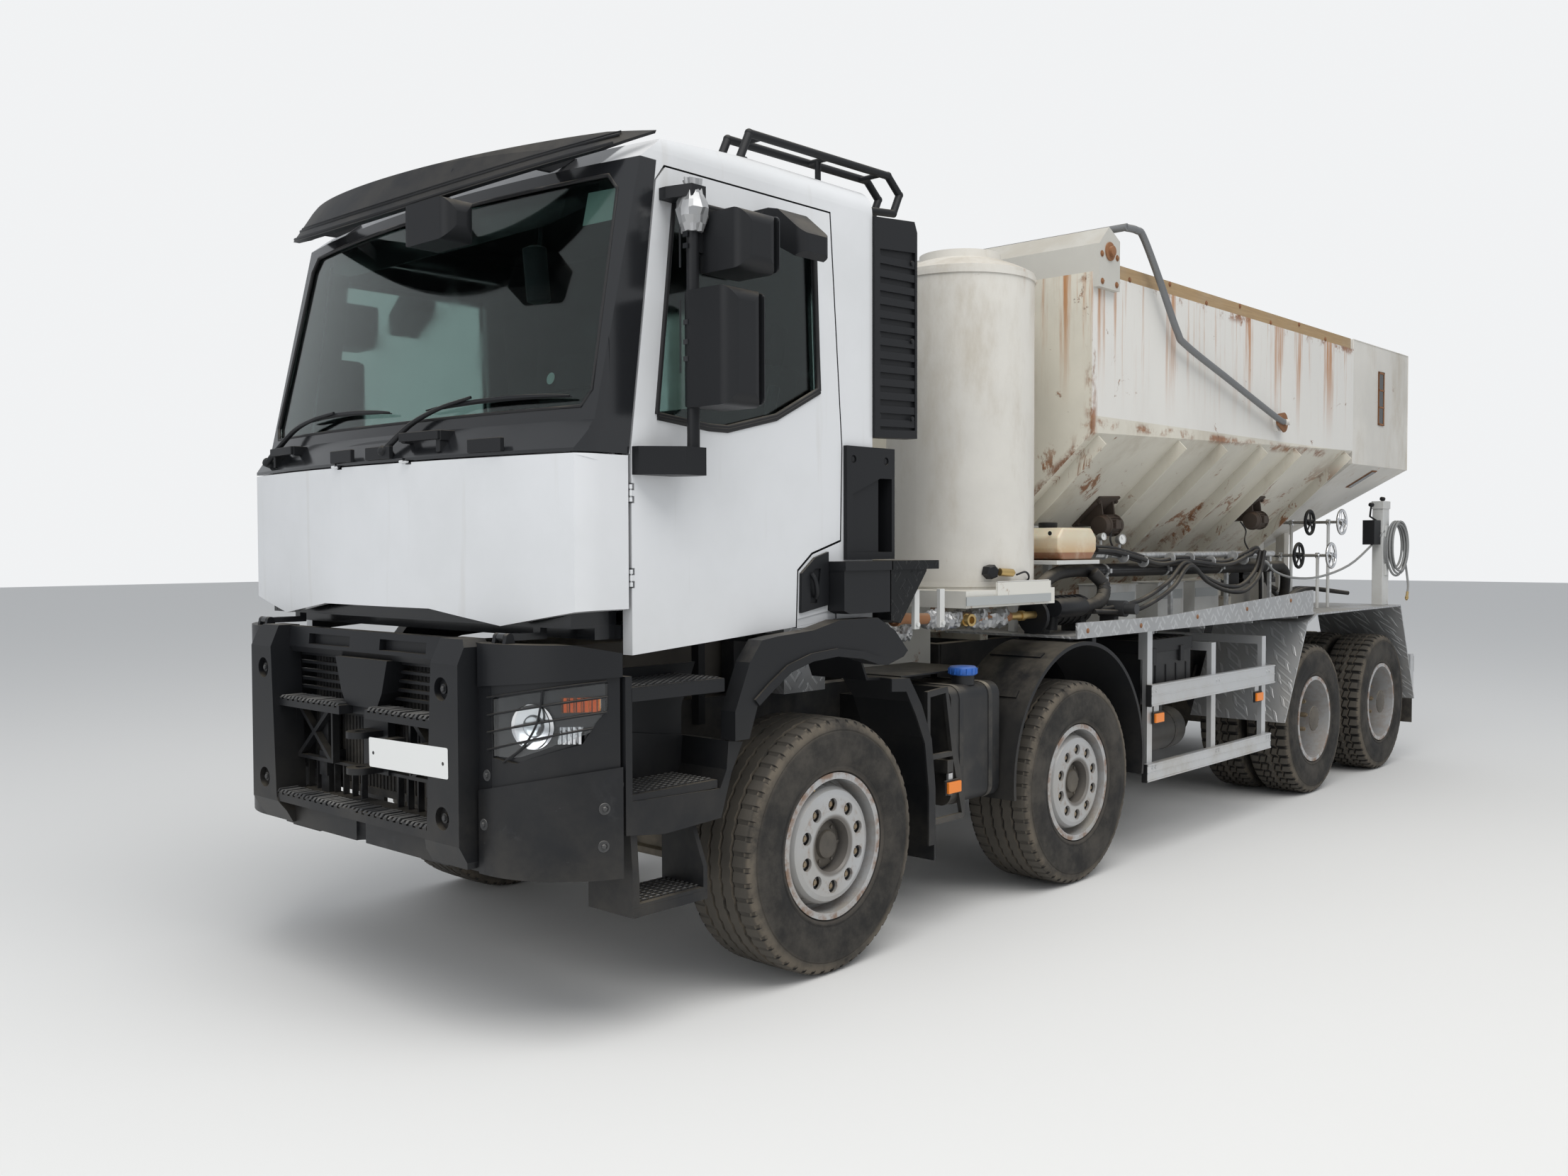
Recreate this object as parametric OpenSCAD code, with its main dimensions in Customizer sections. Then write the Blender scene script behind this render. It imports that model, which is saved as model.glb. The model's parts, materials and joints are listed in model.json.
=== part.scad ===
// Volumetric concrete mixer on a four-axle, cab-over truck.
// Millimetres. +X is forward, +Y the truck's left and +Z up; the ground is z = 0.
// Places along the truck are measured from the first axle, forward positive,
// and every piece stands inside from_axle(), which puts that axle in its place.

/* [Axles and wheels] */
// First axle to second axle
wheelbase_12 = 1954; // [1800:1:2200]
// Second axle to third axle
wheelbase_23 = 3321; // [3200:1:3600]
// Third axle to fourth axle
wheelbase_34 = 1366; // [1300:1:1450]
// Outside diameter of every tyre
tyre_d = 1044; // [1000:1:1060]
// Width of a front tyre
front_tyre_w = 372; // [340:1:390]
// Width of each rear tyre
rear_tyre_w = 302; // [280:1:315]
// Diameter over the rim flanges
rim_d = 597; // [580:1:620]
// Centre line to the outer rim flange, front axles
front_rim_y = 1236; // [1200:1:1250]
// Centre line to the outer rim flange, rear axles
rear_rim_y = 1200; // [1180:1:1240]
// Gap between the two tyres of a rear pair
twin_gap = 34; // [20:1:60]
// Centre line to a kingpin
kingpin_y = 905; // [880:1:930]
// Diameter of the ring of wheel nuts
wheel_pcd = 335; // [320:1:345]
// Diameter of a kingpin
kingpin_d = 46; // [40:1:60]
// Diameter of a wheel spindle
spindle_d = 88; // [70:1:100]
// Radial running gap of a pin in its bore
fit = 0.06; // [0.02:0.01:0.1]

/* [Frame] */
// Width over the two frame rails
frame_w = 850; // [800:1:900]
// Height of a frame rail
rail_h = 270; // [240:1:300]
// Underside of the rails above the ground
rail_z = 790; // [760:1:820]
// Width of a rail's flange
rail_flange = 85; // [70:1:100]
// Thickness of a rail's steel
rail_t = 10; // [8:1:14]
// Height of the mixer's subframe above the rails
subframe_h = 140; // [100:1:180]
// Front end of the rails, ahead of the first axle
rail_front_x = 960; // [900:1:1000]
// Rear end of the rails, behind the first axle
rail_rear_x = -7150; // [-7250:1:-7100]

/* [Cab] */
// Width of the cab
cab_w = 2300; // [2250:1:2350]
// Middle of the cab's front panel
cab_front_x = 1345; // [1320:1:1360]
// Rear wall of the cab
cab_rear_x = -360; // [-400:1:-340]
// Underside of the cab
cab_floor_z = 1412; // [1410:1:1420]
// Top of the cab's roof
cab_roof_z = 3262; // [3220:1:3300]
// Radius of the bowed front
cab_bow_r = 6100; // [5000:50:8000]
// Thickness of the cab's walls and doors
cab_wall = 50; // [40:1:60]
// Gap round a door or flap
panel_gap = 7; // [6:0.5:10]
// Thickness of the window glass
glass_t = 6; // [5:0.5:8]

/* [Bumper and steps] */
// Foremost face of the bumper
bumper_front_x = 1465; // [1450:1:1490]
// Underside of the bumper
bumper_z0 = 590; // [560:1:640]
// Top of the bumper
bumper_z1 = 1405; // [1380:1:1410]
// Half width of the bumper
bumper_y = 1232; // [1200:1:1245]

/* [Mixer body] */
// Width over the hopper sides
hopper_w = 2500; // [2450:1:2540]
// Front wall of the hopper
hopper_front_x = -2056; // [-2080:1:-2040]
// Rear wall of the hopper
hopper_rear_x = -5822; // [-5850:1:-5800]
// Top of the steel hopper sides
hopper_top_z = 3150; // [3100:1:3200]
// Height of the knee where the upright sides end
knee_z = 2372; // [2300:1:2450]
// Height of the trough floor at the foot of the slopes
trough_z = 1460; // [1420:1:1500]
// Half width of the trough
trough_y = 262; // [220:1:320]
// Fall of the sloping sides towards the rear, degrees
hopper_fall = 1.5; // [0:0.1:2]
// Thickness of the hopper's sheet
sheet_t = 8; // [5:1:12]
// Height of the wooden side boards
board_h = 72; // [50:1:100]
// Front of the cement bin
bin_front_x = -5850; // [-5870:1:-5840]
// Rear of the cement bin
bin_rear_x = -7070; // [-7100:1:-7000]
// Top of the cement bin
bin_top_z = 3230; // [3200:1:3260]
// Radius of a water tank
tank_r = 372; // [350:1:390]
// Centre of a water tank along the truck
tank_x = -1500; // [-1520:1:-1480]
// Centre line to the centre of a water tank
tank_y = 810; // [790:1:840]

/* [Discharge boom] */
// Swing axis of the boom
swing_x = -7480; // [-7550:1:-7450]
// Length of the boom
boom_len = 2150; // [2000:1:2400]
// Angle of the boom above level when it is stowed
stow_angle = 86; // [80:1:88]
// Diameter of the boom's tube
boom_d = 230; // [200:1:260]
// Height of the boom's hinge
boom_z = 1200; // [1150:1:1250]

/* [Hidden] */
$fn = 48;

// Axle places, from the first axle
axle_x = [0, -wheelbase_12, -wheelbase_12 - wheelbase_23, -wheelbase_12 - wheelbase_23 - wheelbase_34];
wheel_z = tyre_d / 2;
rail_top = rail_z + rail_h;
rail_y = frame_w / 2;
sub_top = rail_top + subframe_h;
rear_reach = -swing_x + boom_len * cos(stow_angle) + boom_d / 2 * sin(stow_angle);
front_axle_x = (rear_reach - bumper_front_x) / 2;
cab_y = cab_w / 2;
hopper_y = hopper_w / 2;
front_tyre_y = front_rim_y - front_tyre_w / 2 + 20;
outer_tyre_y = rear_rim_y - rear_tyre_w / 2 + 14;
inner_tyre_y = outer_tyre_y - rear_tyre_w - twin_gap;
rear_hub_y = (outer_tyre_y + inner_tyre_y) / 2;
rear_spindle_y = rear_hub_y + 125;
axle_tube_d = 190;
spring_r = 2400;
arm_pivot_x = -4436;
arm_pivot_z = 2530;
hatch_x = -6110;
rear_bar_x = axle_x[3] - 839;
inlet_x = -2600;
inlet_r = 30;
// Cab tilt axis, door hinge line and front flap hinge line
tilt_x = 1345;
tilt_z = 1425;
tilt_y = 860;
mudguard_r = 660;
tilt_pin_d = 24;
// Bumper face between the pillars, and the middle and radius of its rounded corners
face_x = 1392;
tow_x = 1400;
tow_bore_r = 20;
corner_x = 960;
corner_y = 800;
corner_r = 432;
// How far the bumper's mouldings stand proud, and the heights of the bolts in its pillars
proud = 14;
pillar_bolts = [779, 1240];
// Half width of the opening between the pillars
mouth_y = 596;
door_x = 1006.5;
flap_x = 1351;
flap_z = 2065;
hinge_d = 12;
door_hinges = [1600, 1900];
flap_hinges = [-250, 250];

cream = "#b9b4a6";
white = "#dfe3e6";
dark = "#2b2e33";
steel = "#8d9196";
rubber = "#26282b";
tread_plate = "#c3c4c2";

module from_axle() { translate([front_axle_x, 0, 0]) children(); }
module both_sides() { children(); mirror([0, 1, 0]) children(); }
module block(x0, x1, y0, y1, z0, z1) { translate([x0, y0, z0]) cube([x1 - x0, y1 - y0, z1 - z0]); }
// A side view outline of (x, z) points, from y0 to y1
module side_slab(y0, y1) { translate([0, y1, 0]) rotate([90, 0, 0]) linear_extrude(y1 - y0) children(); }
// A cross section of (y, z) points, from x0 to x1
module length_slab(x0, x1) { translate([x0, 0, 0]) rotate([90, 0, 90]) linear_extrude(x1 - x0) children(); }
module round_rect(x0, x1, z0, z1, r) {
  translate([x0 + r, z0]) square([x1 - x0 - 2 * r, z1 - z0]);
  translate([x0, z0 + r]) square([x1 - x0, z1 - z0 - 2 * r]);
  for (x = [x0 + r, x1 - r], z = [z0 + r, z1 - r]) translate([x, z]) circle(r);
}
// A round bar between two points
module bar(p, q, d) {
  v = q - p;
  l = norm(v);
  translate(p) rotate([0, acos(v[2] / l), atan2(v[1], v[0])]) cylinder(d = d, h = l);
}

module frame() color(dark) from_axle() {
  both_sides() difference() {
    block(rail_rear_x, rail_front_x, rail_y - rail_flange, rail_y, rail_z, rail_top);
    block(rail_rear_x - 1, rail_front_x + 1, rail_y - rail_flange - 1, rail_y - rail_t, rail_z + rail_t,
      rail_top - rail_t);
  }
  for (x = [900, -980, -2900, -3900, -4780, -5900, -7040])
    difference() {
      block(x - 50, x + 50, -rail_y + 5, rail_y - 5, rail_z + 40, rail_top - 40);
      block(x - 40, x + 60, -rail_y + 40, rail_y - 40, rail_z + 50, rail_top - 50);
    }
  both_sides() block(rail_rear_x, -1880, rail_y - 75, rail_y, rail_top, sub_top);
  for (x = [-1900, -2700, -3500, -4300, -5000, -6100, -7100])
    block(x - 40, x + 40, -rail_y + 5, rail_y - 5, rail_top + 20, sub_top);
  both_sides() block(-330, -250, 345, rail_y, rail_top - 1, cab_floor_z - 0.3);
}

module axle_beam(x) translate([x, 0, 0]) {
  both_sides() {
    side_slab(0, 420) polygon([[-45, 330], [45, 330], [45, 360], [14, 365], [14, 425], [45, 430], [45, 460],
      [-45, 460], [-45, 430], [-14, 425], [-14, 365], [-45, 360]]);
    length_slab(-32, 32) polygon([[400, 330], [440, 330], [kingpin_y - 60, 462], [kingpin_y - 30, 462],
      [kingpin_y - 30, 560], [kingpin_y - 60, 560], [430, 460], [400, 460]]);
    translate([0, kingpin_y, wheel_z - 62]) cylinder(d = 92, h = 124);
    translate([0, kingpin_y, wheel_z - 128]) cylinder(d = kingpin_d, h = 256);
  }
}
module drive_axle(x) translate([x, 0, wheel_z]) {
  rotate([90, 0, 0]) translate([0, 0, -520]) cylinder(d = axle_tube_d, h = 1040);
  translate([0, 0, 0]) rotate([90, 0, 0]) translate([0, 0, -180]) cylinder(d = 420, h = 360);
  translate([0, 30, 20]) rotate([0, 90, 0]) translate([0, 0, -290]) cylinder(d = 200, h = 580);
  rotate([90, 0, 0]) translate([0, 0, -rear_spindle_y]) cylinder(d = spindle_d, h = 2 * rear_spindle_y);
}
module axles() color(steel) from_axle() {
  axle_beam(axle_x[0]);
  axle_beam(axle_x[1]);
  drive_axle(axle_x[2]);
  drive_axle(axle_x[3]);
}

// A curved spring pack: its ends rise, or fall where up is -1
module leaf_spring(x, half, z, up) translate([x, 0, z]) side_slab(345, 425) intersection() {
  translate([0, up * spring_r]) difference() {
    circle(r = spring_r, $fn = 300);
    circle(r = spring_r - 60, $fn = 300);
  }
  translate([-half, -100]) square([2 * half, 300]);
}
module springs() color(dark) from_axle() both_sides() {
  for (x = [axle_x[0], axle_x[1]]) {
    leaf_spring(x, 780, 480, 1);
    block(x - 60, x + 60, 345, 425, 460.3, 490);
    block(x - 60, x + 60, 345, 425, 520, 560);
    for (s = [-1, 1]) block(x + s * 750 - 30, x + s * 750 + 30, 350, 420, 600, rail_z - 0.3);
  }
  bogie = (axle_x[2] + axle_x[3]) / 2;
  leaf_spring(bogie, 740, 745, -1);
  block(bogie - 90, bogie + 90, 345, 425, 480, rail_z - 0.3);
  for (x = [axle_x[2], axle_x[3]]) difference() {
    block(x - 70, x + 70, 345, 425, 560, 670);
    translate([x, 430, wheel_z]) rotate([90, 0, 0]) cylinder(d = axle_tube_d + 0.6, h = 90);
  }
}

module engine() color(steel) from_axle() {
  block(-560, 700, -330, 330, 700, 1330);
  block(300, 420, -rail_y + rail_t + 0.3, rail_y - rail_t - 0.3, 850, 950);
  block(720, 800, -335, 335, 760, 1330);
  block(740, 780, -rail_y + rail_t + 0.3, rail_y - rail_t - 0.3, 860, 960);
}

// Rounded corner of the bumper seen from above, between two radii
module bumper_corner(r0, r1) translate([corner_x, corner_y]) difference() {
  circle(r = r1, $fn = 120);
  circle(r = r0, $fn = 120);
  translate([-600, -600]) square([740, 1300]);
  translate([-600, -600]) square([1200, 590]);
}
module bumper() color(dark) from_axle() {
  both_sides() difference() {
    union() {
      translate([0, 0, bumper_z0]) linear_extrude(bumper_z1 - bumper_z0) {
        bumper_corner(corner_r - 60, corner_r - proud);
        translate([face_x - 60, 590]) square([60 - proud, corner_y - 560]);
      }
      intersection() {
        linear_extrude(2000) {
          bumper_corner(corner_r - 40, corner_r);
          translate([face_x - 40, 770]) square([40, 32]);
        }
        length_slab(1000, 1600) {
          polygon([[770, 1252], [770, bumper_z1], [1240, bumper_z1], [1240, 1294]]);
          polygon([[770, bumper_z0], [770, 885], [1240, 985], [1240, bumper_z0]]);
        }
      }
    }
    length_slab(1140, 1600) lamp_outline(0);
    translate([1250, 0, bumper_z1]) rotate([0, -12, 0]) block(-300, 0, 870, 1400, 0, 90);
  }
  both_sides() {
    difference() {
      intersection() {
        side_slab(510, 762) polygon([[face_x - 60, bumper_z0 + 10], [bumper_front_x - 50, bumper_z0 + 10],
          [bumper_front_x, 690], [bumper_front_x, 1330], [bumper_front_x - 40, bumper_z1 + 12],
          [face_x - 60, bumper_z1 + 12]]);
        length_slab(1300, 1600) polygon([[595, 1425], [725, 1425], [757, 1390], [757, 630], [727, 592], [515, 592],
          [515, 650], [555, 705], [577, 1100]]);
      }
      for (z = pillar_bolts) translate([bumper_front_x - 24, 655, z]) rotate([0, 90, 0]) cylinder(d = 84, h = 40);
    }
    for (z = pillar_bolts) translate([bumper_front_x - 25, 655, z]) rotate([0, 90, 0]) cylinder(d = 36, h = 15);
  }
  difference() {
    side_slab(-mouth_y, mouth_y) polygon([[face_x - 60, 1306], [face_x - 26, 1306], [face_x - 10, 1330],
      [face_x - 18, bumper_z1 + 8], [face_x - 60, bumper_z1 + 8]]);
    both_sides() block(face_x - 42, face_x, 110, 430, 1345, 1388);
  }
  length_slab(face_x - 92, face_x + 4) polygon([[-190, 1308], [190, 1308], [150, 1180], [112, 1119], [-112, 1119],
    [-150, 1180]]);
  difference() {
    block(face_x - 92, bumper_front_x - 28, -mouth_y, mouth_y, 1085, 1120);
    block(face_x - 15, bumper_front_x, -95, 95, 1084, 1121);
    both_sides() for (y = [115:42:570]) block(face_x - 25, bumper_front_x, y, y + 18, 1110, 1121);
  }
  difference() {
    union() {
      block(face_x - 110, bumper_front_x - 5, -mouth_y, mouth_y, 690, 730);
      block(face_x - 60, face_x + 10, -mouth_y, mouth_y, bumper_z0, 692);
    }
    translate([tow_x, 0, bumper_z0 - 10]) cylinder(r = tow_bore_r + 14, h = 200);
    both_sides() for (y = [60:44:560]) block(face_x - 30, bumper_front_x, y, y + 18, 720, 731);
  }
  difference() {
    union() {
      for (z = [860, 1000]) {
        block(face_x - 60, tow_x, -55, 55, z, z + 25);
        translate([tow_x, 0, z]) cylinder(d = 110, h = 25);
      }
      block(face_x - 90, face_x - 58, -90, 90, 850, 1086);
    }
    translate([tow_x, 0, 850]) cylinder(r = tow_bore_r, h = 200);
  }
  for (z = [1150:35:1300]) block(face_x - 85, face_x - 65, -mouth_y, mouth_y, z, z + 12);
  block(face_x - 100, face_x - 70, -mouth_y, mouth_y, 850, 862);
  both_sides() for (y = [130:70:590]) block(face_x - 98, face_x - 72, y, y + 8, 729, 851);
  both_sides() {
    length_slab(face_x - 60, face_x - 30) {
      polygon([[290, 1086], [318, 1086], [575, 872], [547, 872]]);
      polygon([[547, 1086], [575, 1086], [318, 872], [290, 872]]);
      polygon([[280, 862], [280, 876], [585, 876], [585, 862]]);
      for (y = [280, 572]) polygon([[y, 862], [y, 1086], [y + 13, 1086], [y + 13, 862]]);
    }
    block(rail_front_x + 0.3, face_x - 50, 365, rail_y, 800, 900);
    block(face_x - 110, face_x - 58, 365, rail_y, 691, 1086);
    for (y = [tilt_y - 40, tilt_y + 22]) side_slab(y, y + 18) {
      polygon([[tilt_x - 22, bumper_z1 - 3], [tilt_x + 22, bumper_z1 - 3], [tilt_x + 15.9, tilt_z], [tilt_x - 15.9, tilt_z]]);
      translate([tilt_x, tilt_z]) circle(r = 16);
    }
    translate([tilt_x, tilt_y + 39, tilt_z]) rotate([90, 0, 0]) cylinder(d = tilt_pin_d, h = 78);
  }
}
// Outline of a head lamp seen from the front, drawn in by g
module lamp_outline(g) {
  polygon([[838 + g, 1005 + g], [940, 992 + g], [1130 - g, 1062], [1180 - g, 1190], [1192 - g, 1276 - g],
    [838 + g, 1216 - g]]);
}

module lamps() color(white) from_axle() {
  both_sides() intersection() {
    translate([0, 0, 900]) linear_extrude(400) bumper_corner(corner_r - 50, corner_r - 30);
    length_slab(1140, 1600) lamp_outline(0.3);
  }
  both_sides() block(rear_bar_x - 40, rear_bar_x - 0.3, 880, 1170, 690, 820);
}

// A step's tread with its grip slots
module tread(x0, x1, y0, y1, z) difference() {
  block(x0, x1, y0, y1, z - 30, z);
  for (y = [y0 + 16:25:y1 - 20]) block(x0 + 18, x1 - 18, y, y + 10, z - 8, z + 1);
}
module side_steps() color(dark) from_axle() both_sides() {
  side_slab(930, 946) polygon([[576, 995], [576, 1124], [500, 1290], [1085, 1290], [1085, 1040]]);
  block(1055, 1085, 930, 1205, 1040, 1290);
  tread(598, 1056, 945, 1205, 1250);
  block(598, 1056, 1196, 1206, 1200, 1246);
  difference() {
    side_slab(930, 1205) polygon([[500, 1000], [853, 1049], [1085, 1071], [1085, 735], [903, 713], [617, 727],
      [562, 890]]);
    side_slab(955, 1300) polygon([[570, 1080], [1055, 1110], [1055, 850], [622, 838], [588, 905]]);
  }
  tread(632, 1056, 954, 1200, 872);
  length_slab(1025, 1055) polygon([[960, 760], [1190, 760], [1205, 560], [1205, 438], [960, 438]]);
  length_slab(692, 712) polygon([[980, 740], [1130, 740], [1205, 560], [1205, 438], [980, 438]]);
  tread(692, 1055, 980, 1205, 484);
  block(692, 1055, 1195, 1206, 438, 470);
  block(800, 900, rail_y + 0.3, 945, 850, 900);
}

module wheel_arches() color(dark) from_axle() both_sides() {
  side_slab(1165, 1240) polygon([[576, 1014], [576, 1124], [496, 1303], [427, 1383], [344, 1393], [127, 1407],
    [-34, 1440], [-284, 1440], [-403, 1380], [-493, 1290], [-463, 1265], [-351, 1236], [-288, 1241], [-172, 1274],
    [-14, 1294], [139, 1284], [270, 1250], [370, 1191], [453, 1136], [500, 1014]]);
  side_slab(1239, 1250) polygon([[453, 1136], [370, 1191], [270, 1250], [139, 1284], [-14, 1294], [-172, 1274],
    [-288, 1241], [-296, 1272], [-178, 1306], [-14, 1327], [148, 1316], [287, 1280], [392, 1218], [476, 1160]]);
  side_slab(860, 1166) polygon([[300, 1372], [-215, 1372], [-305, 1180], [-505, 1168], [-594, 1044], [-668, 886],
    [-697, 663], [-697, 340], [-687, 340], [-687, 665], [-658, 890], [-586, 1054], [-498, 1158], [-298, 1170],
    [-208, 1362], [300, 1362]]);
  side_slab(1165, 1240) polygon([[-395, 1174], [-505, 1168], [-594, 1044], [-668, 886], [-697, 663], [-697, 340],
    [-687, 340], [-687, 665], [-658, 890], [-586, 1054], [-498, 1158], [-395, 1164]]);
  side_slab(1230, 1240) polygon([[-380, 1174], [-505, 1168], [-594, 1044], [-668, 886], [-697, 663], [-697, 411],
    [-648, 411], [-648, 655], [-618, 872], [-553, 1000], [-482, 1112], [-380, 1120]]);
  translate([axle_x[1] - 20, 0, wheel_z + 65]) {
    side_slab(860, 1255) difference() {
      circle(r = mudguard_r, $fn = 120);
      circle(r = mudguard_r - 20, $fn = 120);
      translate([-800, -900]) square([800, 795]);
      translate([-1, -900]) square([800, 830]);
    }
    for (a = [40:25:140]) rotate([0, -a, 0]) block(mudguard_r - 5, mudguard_r + 8, 880, 1180, -22, 22);
  }
  translate([axle_x[1] - 150, 0, 0]) block(-20, 20, 870, 1240, 1226, 1261.7);
  block(-20, 20, rail_y + 0.3, 470, 950, 1372);
  block(-20, 20, rail_y + 0.3, 900, 1361, 1372);
}

module chassis_tanks() color(steel) from_axle() {
  length_slab(-4150, -2800) mirror([1, 0]) round_rect(560, 1170, 470, 1080, 60);
  for (x = [-3900, -3050]) block(x - 40, x + 40, -620, -rail_y - 0.3, 820, 1000);
  length_slab(-1300, -900) round_rect(760, 1180, 540, 1090, 60);
  block(-1250, -1010, rail_y + 0.3, 790, 820, 1000);
  translate([-1110, 1100, 1085]) cylinder(d = 110, h = 45);
  block(-1350, -720, 620, 1030, 1140, 1147);
  for (x = [-1280, -930]) block(x - 15, x + 15, 800, 840, 1080, 1141);
  side_slab(1170, 1190) difference() {
    polygon([[-860, 1100], [-705, 1088], [-705, 480], [-990, 480], [-1010, 520]]);
    polygon([[-845, 1072], [-727, 1062], [-727, 800], [-895, 800]]);
    polygon([[-900, 778], [-727, 778], [-727, 505], [-975, 505]]);
  }
  block(-905, -860, 1000, 1190, 700, 760);
  block(-3420, -2790, 560, 1150, 840, 1195);
  for (x = [-3350, -2900]) block(x - 30, x + 30, rail_y + 0.3, 570, 860, 1000);
  for (y = [700, 960]) {
    translate([-3500, y, 630]) rotate([0, 90, 0]) cylinder(d = 250, h = 680);
    for (x = [-3300, -2950]) block(x - 20, x + 20, y - 60, y + 60, 700, 845);
  }
}

module guards() color(white) from_axle() {
  both_sides() {
    block(-4460, -2735, 1215, 1245, 840, 960);
    block(-4400, -2690, 1215, 1245, 420, 520);
    for (x = [-2775, -3600, -4350]) block(x - 30, x + 30, 1185, 1215, 420, 1100);
    for (x = [-2775, -3600, -4350]) block(x - 30, x + 30, x > -3500 ? 1160 : rail_y + 0.3, 1215, 1100, 1150);
    block(-2805, -2745, 1160, 1215, 1100, 1261.7);
    block(rear_bar_x, rail_rear_x - 10, 365, rail_y, 590, 799.7);
    block(rear_bar_x, rear_bar_x + 80, 860, 1180, 589, 840);
  }
  block(rear_bar_x, rear_bar_x + 80, -1180, 1180, 470, 590);
}

module deck() color(tread_plate) from_axle() {
  both_sides() {
    block(axle_x[2] + 105, -1914, rail_y + 0.3, 1240, 1262, 1274);
    for (x = [-2850, -3500, -4200, axle_x[2] + 325]) length_slab(x - 6, x + 6) polygon([[rail_y + 0.3, 1100],
      [rail_y + 0.3, 1263], [1200, 1263], [1200, 1240], [555, 1205], [520, 1100]]);
    side_slab(1240, 1250) polygon([[-1914, 1262], [-1914, 1345], [-2855, 1340], [axle_x[2] + 175, 1430],
      [axle_x[2] + 175, 1262]]);
    side_slab(590, 1250) polygon([[axle_x[2] + 663, 561], [axle_x[2] + 280, 1211], [axle_x[2] + 115, 1266], [axle_x[3] - 280, 1266],
        [axle_x[3] - 637, 495], [axle_x[3] - 625, 495], [axle_x[3] - 272, 1254], [axle_x[2] + 112, 1254],
        [axle_x[2] + 272, 1200], [axle_x[2] + 649, 561]]);
    for (x = [axle_x[2] - 25, axle_x[3] + 41]) block(x - 30, x + 30, rail_y + 0.3, 600, 1200, 1260);
    block(-707, -375, 500, 1250, 1640, 1678);
    side_slab(600, 1240) polygon([[-375, 1641], [-628, 1641], [-628, 1631], [-442, 1410], [-375, 1425]]);
    block(-690, -400, 350, 600, rail_top + 0.3, 1560);
  }
}

module hopper_slope(o) {
  polygon([[-hopper_y - o, knee_z], [-hopper_y - o, knee_z + 200], [hopper_y + o, knee_z + 200],
    [hopper_y + o, knee_z], [trough_y + o, trough_z - o], [trough_y + o, 1300], [-trough_y - o, 1300],
    [-trough_y - o, trough_z - o]]);
}
module hopper_solid(o, x0, x1, z1) {
  intersection() {
    translate([(x0 + x1) / 2, 0, trough_z]) rotate([0, hopper_fall, 0]) translate([0, 0, -trough_z])
      length_slab(-3000, 3000) hopper_slope(o);
    block(x0, x1, -2000, 2000, 1000, knee_z + 100);
  }
  block(x0, x1, -hopper_y - o, hopper_y + o, knee_z + 60, z1);
}
module hopper() color(cream) from_axle() {
  difference() {
    hopper_solid(0, hopper_rear_x, hopper_front_x, hopper_top_z);
    difference() {
      hopper_solid(-sheet_t, hopper_rear_x + sheet_t, hopper_front_x - sheet_t, hopper_top_z + 10);
      block(-7000, -1000, -1000, 1000, 1200, trough_z - 60);
    }
  }
  block(hopper_rear_x + 1, hopper_front_x - 1, -4, 4, 1700, 3000);
  for (x = [-2300, -3100, -3939, -4750, -5600])
    block(x - 40, x + 40, -rail_y, rail_y, sub_top + 0.3, trough_z - 110);
  both_sides() on_slope() for (x = [-1780, -850, -300, 300, 850, 1780]) block(x - 6, x + 6, 20, 1330, -70, 3);
  both_sides() translate([arm_pivot_x, 0, arm_pivot_z]) rotate([-90, 0, 0]) {
    translate([0, 0, hopper_y - 4]) cylinder(d = 110, h = 23.7);
    translate([0, 0, hopper_y]) cylinder(d = 40, h = 90);
  }
}
// Stands on the left slope: x from its middle, y up the slope and -z outwards
module on_slope() translate([(hopper_rear_x + hopper_front_x) / 2, 0, trough_z]) rotate([0, hopper_fall, 0])
  translate([0, trough_y, 0]) rotate([atan2(knee_z - trough_z, hopper_y - trough_y), 0, 0]) children();

module side_boards() color("#8a7255") from_axle() both_sides()
  block(-5765, -2302, hopper_y - 42, hopper_y - 2, hopper_top_z, hopper_top_z + board_h);

module cement_bin() color(cream) from_axle() {
  difference() {
    union() {
      block(bin_rear_x, bin_front_x, -hopper_y + 15, hopper_y - 15, 2330, bin_top_z);
      intersection() {
        side_slab(-1235, 1235) polygon([[bin_rear_x, 2330], [bin_front_x, 2330], [-6350, 1700], [-6750, 1700]]);
        length_slab(bin_rear_x, bin_front_x) polygon([[-1235, 2330], [1235, 2330], [200, 1700], [-200, 1700]]);
      }
    }
    block(bin_rear_x + sheet_t, bin_front_x - sheet_t, -hopper_y + 23, hopper_y - 23, 2330, bin_top_z - sheet_t);
    translate([-6460, 0, bin_top_z - 50]) cylinder(d = 560, h = 100);
  }
  translate([-6460, 0, bin_top_z]) difference() {
    cylinder(d = 600, h = 40);
    translate([0, 0, -1]) cylinder(d = 560, h = 60);
  }
  both_sides() block(hatch_x - 25, hatch_x + 25, 65, 80, bin_top_z - 1, bin_top_z + 75);
  translate([hatch_x, 80, bin_top_z + 50]) rotate([90, 0, 0]) cylinder(d = 16, h = 160);
  for (x = [-6700, -6200]) both_sides() block(x - 45, x + 45, rail_y - 70, rail_y, sub_top + 0.3, 2331);
}

module bin_hatch() color(steel) from_axle() {
  translate([-6460, 0, bin_top_z + 40.3]) cylinder(d = 640, h = 25);
  difference() {
    block(-6200, hatch_x + 15, -60, 60, bin_top_z + 40.3, bin_top_z + 65);
    translate([hatch_x, 70, bin_top_z + 50]) rotate([90, 0, 0]) cylinder(d = 16 + 2 * fit, h = 140);
  }
}

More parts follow.
